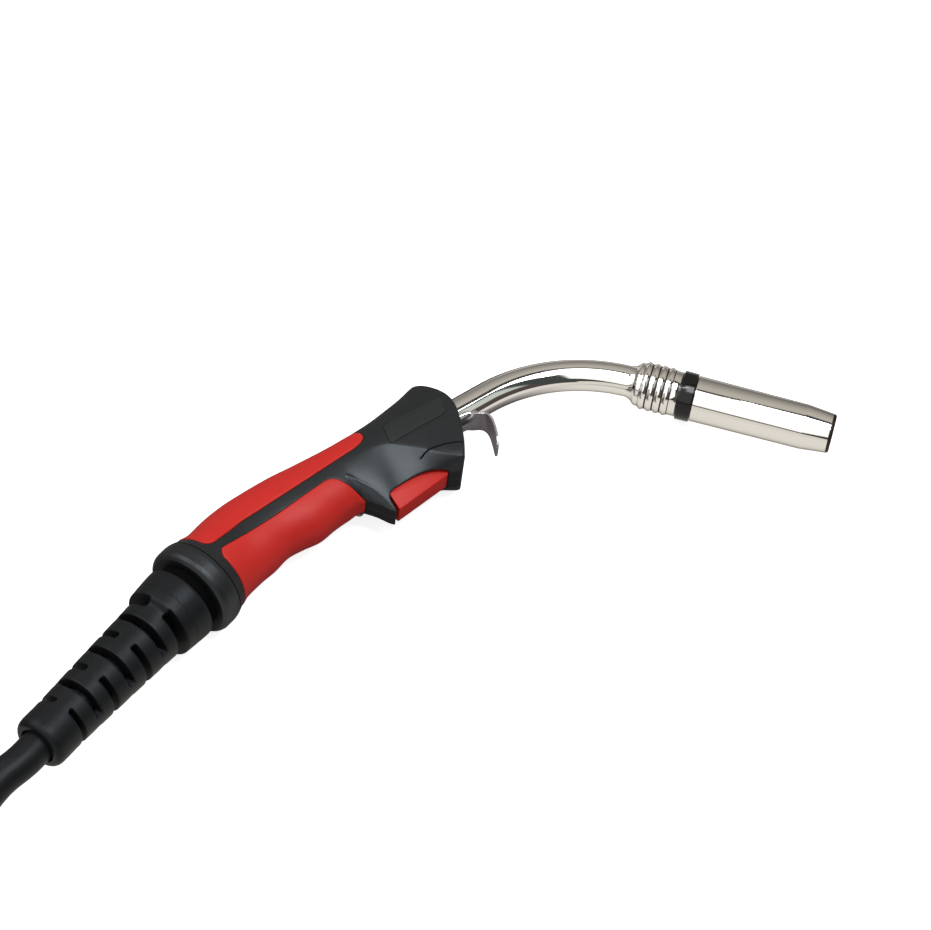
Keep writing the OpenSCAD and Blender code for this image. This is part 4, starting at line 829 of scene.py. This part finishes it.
def cable_support():
    """The bend relief: a turned sleeve with pairs of slots round it, on the cable."""
    f, r = SUPPORT_FRONT, SUPPORT_REAR
    prof = [(f, 22.7), (f - 0.25, 23.3), (f - 0.8, 23.6), (f - 2, 23.62), (f - 6, 23.4), (f - 10, 23.1),
            (f - 12.2, 22.95), (f - 12.4, 22.75), (f - 12.6, 22.9), (f - 16, 22.6), (f - 19.0, 22.35),
            (f - 20.0, 22.1), (f - 20.8, 21.6), (f - 21.4, 20.9), (f - 22.0, 20.2), (f - 22.8, 19.75),
            (f - 24, 19.55), (f - 29, 19.2)]
    prof += [(u, 16.6 + 2.6 * (u - (r + 22)) / (f - 29 - (r + 22))) for u in np.arange(f - 30.5, r + 22, -1.5)]
    prof += [(r + 22, 16.6), (r + 16, 16.5), (r + 10, 16.6), (r + 6, 16.6), (r + 4, 16.5), (r + 2.6, 16.2),
             (r + 1.4, 15.6), (r + 0.6, 14.9), (r + 0.15, 14.1), (r, 13.3)]
    prof, k = np.array(prof), SUPPORT_STEPS + 1
    u, rad = np.repeat(prof, k, 0).T
    phi = np.tile(np.linspace(0, 2 * math.pi, k), len(prof))
    dist = np.full(len(u), 1e3)
    for back, width, bridge in SLOTS:
        dy = np.abs(u - (f - back)) - width / 2 + SLOT_CORNER
        for turn in (0, 180):
            da = (phi - math.radians(bridge + turn) + math.pi) % (2 * math.pi) - math.pi
            dx = (np.abs(da) - math.radians(SLOT_HALF_DEG)) * SLOT_AT_R + SLOT_CORNER
            near = np.hypot(np.maximum(dx, 0), np.maximum(dy, 0)) + np.minimum(np.maximum(dx, dy), 0)
            dist = np.minimum(dist, near - SLOT_CORNER)
    A, F = cut_all(np.column_stack([u, rad, phi, dist]), grid_triangles(len(prof), k), 3,
                   (0.0, 0.05, 0.18, 0.4, SLOT_ROLL), 0.01)
    A, F = compact(A, keep_where(A, F, 3))
    top = at_rear(A[:, 0], A[:, 1] - roll(A[:, 3], SLOT_ROLL), A[:, 2])
    low = at_rear(A[:, 0], np.full(len(A), CABLE_R + SUPPORT_WALL), A[:, 2])
    # The sleeve's first and last column are one and the same: no wall there, and their points join.
    e = border(F)
    at_seam = [(np.abs(A[e, 2] - a) < 1e-6).all(1) for a in (0, 2 * math.pi)]
    e = e[~(at_seam[0] | at_seam[1])]
    pts, tris = np.concatenate([top, low]), np.concatenate([F, F[:, ::-1] + len(A), walls(e, len(A))])
    key = np.round(pts * 1e7).astype(np.int64)
    _, first, inv = np.unique(key, axis=0, return_index=True, return_inverse=True)
    tris = inv.reshape(-1)[tris]
    tris = tris[(tris != np.roll(tris, 1, 1)).all(1)]
    piece("cable_support_sleeve", pts[first], tris[:, ::-1], "black_rubber", "cable_side", ("cable_support",))


# The trigger's outline in side view, half its width, the place of its sloping sides (which pass
# SIDE_AT), how far they lean in and in which direction, and the bevel on its edges.
TRIGGER = [[126.1, 15.0], [160.3, 30.4], [161.6, 31.6], [161.9, 33.2], [161.9, 38.6], [160.6, 42],
           [157.4, 43.9], [153, 42.7], [150, 41.0], [123.6, 31.4], [119.6, 30.2], [119.2, 28.6], [119.6, 27.4],
           [122.9, 27.4], [123.1, 24.4]]
TRIGGER_HALF, SIDE_AT, SIDE_LEAN, SIDE_DEG = 9.3, (126.1, 15, 6.1), math.radians(17.5), 24.3
BEVEL, BEVEL_FROM = 0.55, math.radians(18)


def trigger_piece():
    """The trigger's outline, thickened, cut to its sloping sides and bevelled."""
    bm = bmesh.new()
    verts = [bm.verts.new((x, y, z)) for z in (-TRIGGER_HALF, TRIGGER_HALF) for x, y in TRIGGER]
    for face in capped_quads(2, len(TRIGGER)):
        bm.faces.new([verts[i] for i in face])
    for s in (1, -1):
        # The side face's normal: sideways, leaning towards the underside.
        lean = math.sin(SIDE_LEAN) * d2(SIDE_DEG - 90)
        bmesh.ops.bisect_plane(bm, geom=bm.verts[:] + bm.edges[:] + bm.faces[:],
                               plane_co=(*SIDE_AT[:2], SIDE_AT[2] * s),
                               plane_no=(*lean, s * math.cos(SIDE_LEAN)), clear_outer=True)
        bmesh.ops.holes_fill(bm, edges=[e for e in bm.edges if e.is_boundary], sides=0)
    bmesh.ops.recalc_face_normals(bm, faces=bm.faces[:])
    sharp = [e for e in bm.edges if len(e.link_faces) == 2 and e.calc_face_angle(0) > BEVEL_FROM]
    bmesh.ops.bevel(bm, geom=sharp, offset=BEVEL, segments=3, profile=0.5, affect="EDGES", clamp_overlap=True)
    bmesh.ops.triangulate(bm, faces=[f for f in bm.faces if len(f.verts) > 4])
    pts = world([v.co[:] for v in bm.verts])
    faces = [[v.index for v in f.verts] for f in bm.faces]
    bm.free()
    piece("trigger_moulding", pts, faces, "red_plastic", "trigger", ("trigger",), angle=30)


# The strap's thickness, half its width, its play on the coil, its soft edge and its underside.
STRAP_T, STRAP_HALF, STRAP_FIT, STRAP_EDGE, STRAP_FLOOR = 1.5, 10.0, 0.1, 0.3, 0.25


def tie_piece():
    """The strap round the coil: a flat band with rounded corners."""
    turn, t, w = (COIL_TURNS - 3) / 2, STRAP_T, STRAP_HALF
    inner = COIL_R - COIL_PITCH * (1 + turn) - CABLE_R - STRAP_FIT
    outer = COIL_R - COIL_PITCH * turn + CABLE_R + STRAP_FIT
    top = ROUTE[-1][2] + COIL_LAYER + CABLE_R + STRAP_FIT
    box = [(inner - t, STRAP_FLOOR), (outer + t, STRAP_FLOOR), (outer + t, top + t), (inner - t, top + t)]
    hole = [(inner, STRAP_FLOOR + 0.05), (outer, STRAP_FLOOR + 0.05), (outer, top), (inner, top)]
    a = rounded(box, [0.4, 0.4, 5, 5])
    b = rounded(hole, [0.2, 0.2, 4, 4])
    outward, across = d2(COIL_HEADING + 90 - 360 * turn), d2(COIL_HEADING - 360 * turn)
    pts = []
    for ring, z, inset in ((a, -w, STRAP_EDGE), (a, -w + STRAP_EDGE, 0), (a, w - STRAP_EDGE, 0), (a, w, STRAP_EDGE),
                           (b, w, 0), (b, -w, 0)):
        mid = ring.mean(0)
        for p in ring:
            q = p + (mid - p) / np.linalg.norm(mid - p) * inset
            pts.append([*(COIL_CENTRE + outward * q[0] + across * z), max(q[1], FLOOR_GAP)])
    return piece("coil_strap", np.array(pts) * MM, ring_quads(6, len(a)), "black_rubber", "cable_side",
                 ("cable_tie",), angle=40)


make_handle()
front_pieces()
neck_head()
neck_tube()
hook_piece()
locking_ring()
cable_support()
trigger_piece()
strap = tie_piece()
INNER_CABLE = [(SUPPORT_REAR + 0.2, 0.02), (SUPPORT_REAR + 0.2, CABLE_R - 0.05), (-11.2, CABLE_R - 0.05),
               (-14.5, 0.02)]
lathe("inner_cable_run", rounded(INNER_CABLE, [0, 0.6, 0.6, 0], steps=4), at_rear, "black_rubber", "cable_side",
      ("inner_cable",), n=96)

# ---- The imported solids that show get their finish, and the swivel ball painted shade ----
FINISH = {
    "steel": ["nozzle_clip", "wire_liner", "shell_screws", "trigger_pin", "trigger_spring", "plug_screws",
              "liner_nut"],
    "copper": ["contact_tip", "neck_core", "cable_crimp"],
    "brass": ["tip_holder", "neck_nut", "plug_body", "plug_spigot", "control_pins"],
    "white_insulator": ["gas_diffuser", "neck_insulation"],
    "black_plastic": ["plug_cover_top", "plug_cover_bottom", "plug_nut"],
    "dark_plastic": ["switch_body", "plug_insert"],
    # Painted shade: the swivel ball, seen in the gap between the locking ring and the support, is black and matt so
    # that the gap reads as shadow.
    "shade": ["swivel_ball"],
    "red_plastic": ["switch_plunger"],
    "black_rubber": ["handle_cable", "swivel_cable", "plug_support", "switch_leads", "plug_o_ring"],
}
for key, names in FINISH.items():
    for name in names:
        mesh = nodes[name].data
        mesh.materials.clear()
        mesh.materials.append(MAT[key])
        mesh.polygons.foreach_set("material_index", [0] * len(mesh.polygons))


# ---- Stage and light ----
# The studio as bright metal and gloss show it: a white softbox over the camera, pale warm walls
# behind and below it, and dark flags between them.
NOZZLE_DIR, TO_VIEWER = (*d2(OUT_DEG), 0.0), (*d2(OUT_DEG - 90), 0.0)
WHITE, WARM, PALE = (1.12, 1.12, 1.11), (0.50, 0.46, 0.405), (0.72, 0.68, 0.61)
DIM_WARM, FLAG, GREEN_FLAG = (0.24, 0.23, 0.21), (0.05, 0.045, 0.04), (0.055, 0.062, 0.058)
COOL, BROWN, TUBE = (0.57, 0.61, 0.57), (0.085, 0.062, 0.058), (16, 16, 16)
# Where on the insulating ring the streak is seen, and its place along the nozzle's direction.
STREAK_Z, STREAK_R = 33, 14.0
AT_RING = world([*(BEND_END + STREAK_Z * d2(OUT_DEG)), STREAK_R])[0] - np.array(CAMERA_AT)
RING_T = float(AT_RING @ NOZZLE_DIR / np.linalg.norm(AT_RING))


def studio(n, where):
    """The colour of the studio in a direction."""
    x, z = n.dot(where, (1, 0, 0)), n.dot(where, (0, 0, 1))
    y, along_nozzle = n.dot(where, (0, 1, 0)), n.dot(where, NOZZLE_DIR)
    # top is the angle round the nozzle's line, from the viewer's side up over it.
    t = n.math("MINIMUM", n.math("MAXIMUM", along_nozzle, -0.108), 0.08)
    round_ = n.math("ARCTAN2", z, n.dot(where, TO_VIEWER))
    top = n.math("SUBTRACT", round_, n.math("MULTIPLY_ADD", t, 1.3, 0.26))
    c = n.mix(n.step(top, 1.60, 1.63), WHITE, n.mix(n.step(top, 1.8, 2.9), WARM, DIM_WARM))
    c = n.mix(n.band(top, 1.61, 0.045, 0.06), c, FLAG)
    # The bright end of a tube beside the softbox, which the ring shows as a streak.
    tube = n.math("MULTIPLY", n.band(along_nozzle, RING_T, 0.07, 0.03), n.band(top, 1.40, 0.035, 0.02))
    c = n.mix(tube, c, TUBE)
    # Low in front: a pale wall under the softbox, with a dark edge that grows to the right.
    low_edge = n.step(x, -0.5, 0.05, (0.02, 0.16))
    away = n.math("SUBTRACT", n.math("ABSOLUTE", n.math("SUBTRACT", z, 0.29)), low_edge)
    c = n.mix(n.math("MULTIPLY", n.step(z, 0.31, 0.27), n.step(top, 1.2, 1.0)), c, PALE)
    c = n.mix(n.math("MULTIPLY", n.step(away, 0.05, 0.0), n.step(top, 1.2, 1.0)), c, FLAG)
    # To the right: a dark flag, and past it a cool wall.
    near = n.math("SUBTRACT", x, n.math("MULTIPLY_ADD", y, 0.154, n.math("MULTIPLY", z, 0.251)))
    far = n.math("SUBTRACT", x, n.math("MULTIPLY_ADD", y, -0.073, n.math("MULTIPLY_ADD", z, 0.547, 0.06)))
    right = n.math("MULTIPLY", n.step(near, -0.01, 0.05), n.step(top, 1.62, 1.56))
    c = n.mix(right, c, GREEN_FLAG)
    cool = n.mix(n.step(z, 0.50, 0.40), n.mix(n.step(top, 1.36, 1.44), COOL, GREEN_FLAG), BROWN)
    return n.mix(n.math("MULTIPLY", n.step(far, -0.02, 0.08), right), c, cool)


FLOOR_HALF = 6.0


def make_floor():
    """White to the camera, grey to the light that the torch bounces, and with a painted shadow in reflections."""
    mesh = bpy.data.meshes.new("floor")
    s = FLOOR_HALF
    mesh.from_pydata([(-s, -s, 0), (s, -s, 0), (s, s, 0), (-s, s, 0)], [], [(0, 1, 2, 3)])
    o = bpy.data.objects.new("floor", mesh)
    SCENE.collection.objects.link(o)
    m = bpy.data.materials.new("floor")
    m.use_nodes = True
    n = Nodes(m.node_tree)
    at = n.new("TexCoord", out="Object")
    diffuse = n.new("BsdfDiffuse", (0.3, 0.3, 0.3, 1))
    seen = n.new("AddShader", n.new("BsdfDiffuse", (0.8, 0.8, 0.8, 1)), n.new("Emission", (1, 1, 1, 1), 0.8))
    # Painted shadow: metal and gloss see the floor darker and browner round the handle, where the torch shades it;
    # past x = 0.34 it is darker and browner too.
    x, y = n.dot(at, (1, 0, 0)), n.dot(at, (0, 1, 0))
    under = n.math("MULTIPLY", n.step(x, 0.125, 0.085), n.step(y, -0.06, -0.02))
    tone = n.mix(n.math("MAXIMUM", under, n.step(x, 0.26, 0.34)), PALE, BROWN)
    gloss = n.new("AddShader", n.new("BsdfDiffuse", (0.12, 0.12, 0.12, 1)), n.new("Emission", tone, 0.9))
    both = n.new("MixShader", n.ray("Camera"), diffuse, seen)
    both = n.new("MixShader", n.ray("Transmission"), both, seen)
    n.output("Material", n.new("MixShader", n.ray("Glossy"), both, gloss))
    mesh.materials.append(m)


def make_world():
    """White to the camera, dim light on the torch, and the studio in reflections."""
    w = bpy.data.worlds.new("world")
    w.use_nodes = True
    SCENE.world = w
    n = Nodes(w.node_tree)
    where = n.new("TexCoord", out="Generated")
    white = n.new("Background", (1, 1, 1, 1), 1.0)
    dim = n.new("Background", (0.93, 0.96, 1.0, 1), 0.42)
    both = n.new("MixShader", n.math("MAXIMUM", n.ray("Camera"), n.ray("Transmission")), dim, white)
    gloss = n.new("Background", studio(n, where), 1.0)
    n.output("World", n.new("MixShader", n.ray("Glossy"), both, gloss))


def lamp(name, at, power, colour, size=1.0, target=(0, 0, 0.02)):
    data = bpy.data.lights.new(name, "AREA")
    data.energy, data.color, data.size = power, colour, size
    o = bpy.data.objects.new(name, data)
    SCENE.collection.objects.link(o)
    o.location = at
    o.rotation_euler = (Vector(target) - Vector(at)).to_track_quat("-Z", "Y").to_euler()


make_floor()
make_world()
lamp("key", (0.49, -0.25, 1.97), 25, (0.96, 0.985, 1))
lamp("fill", (-0.9, 0.9, 1.3), 8, (0.95, 0.97, 1))
SCENE.view_settings.view_transform = "Standard"
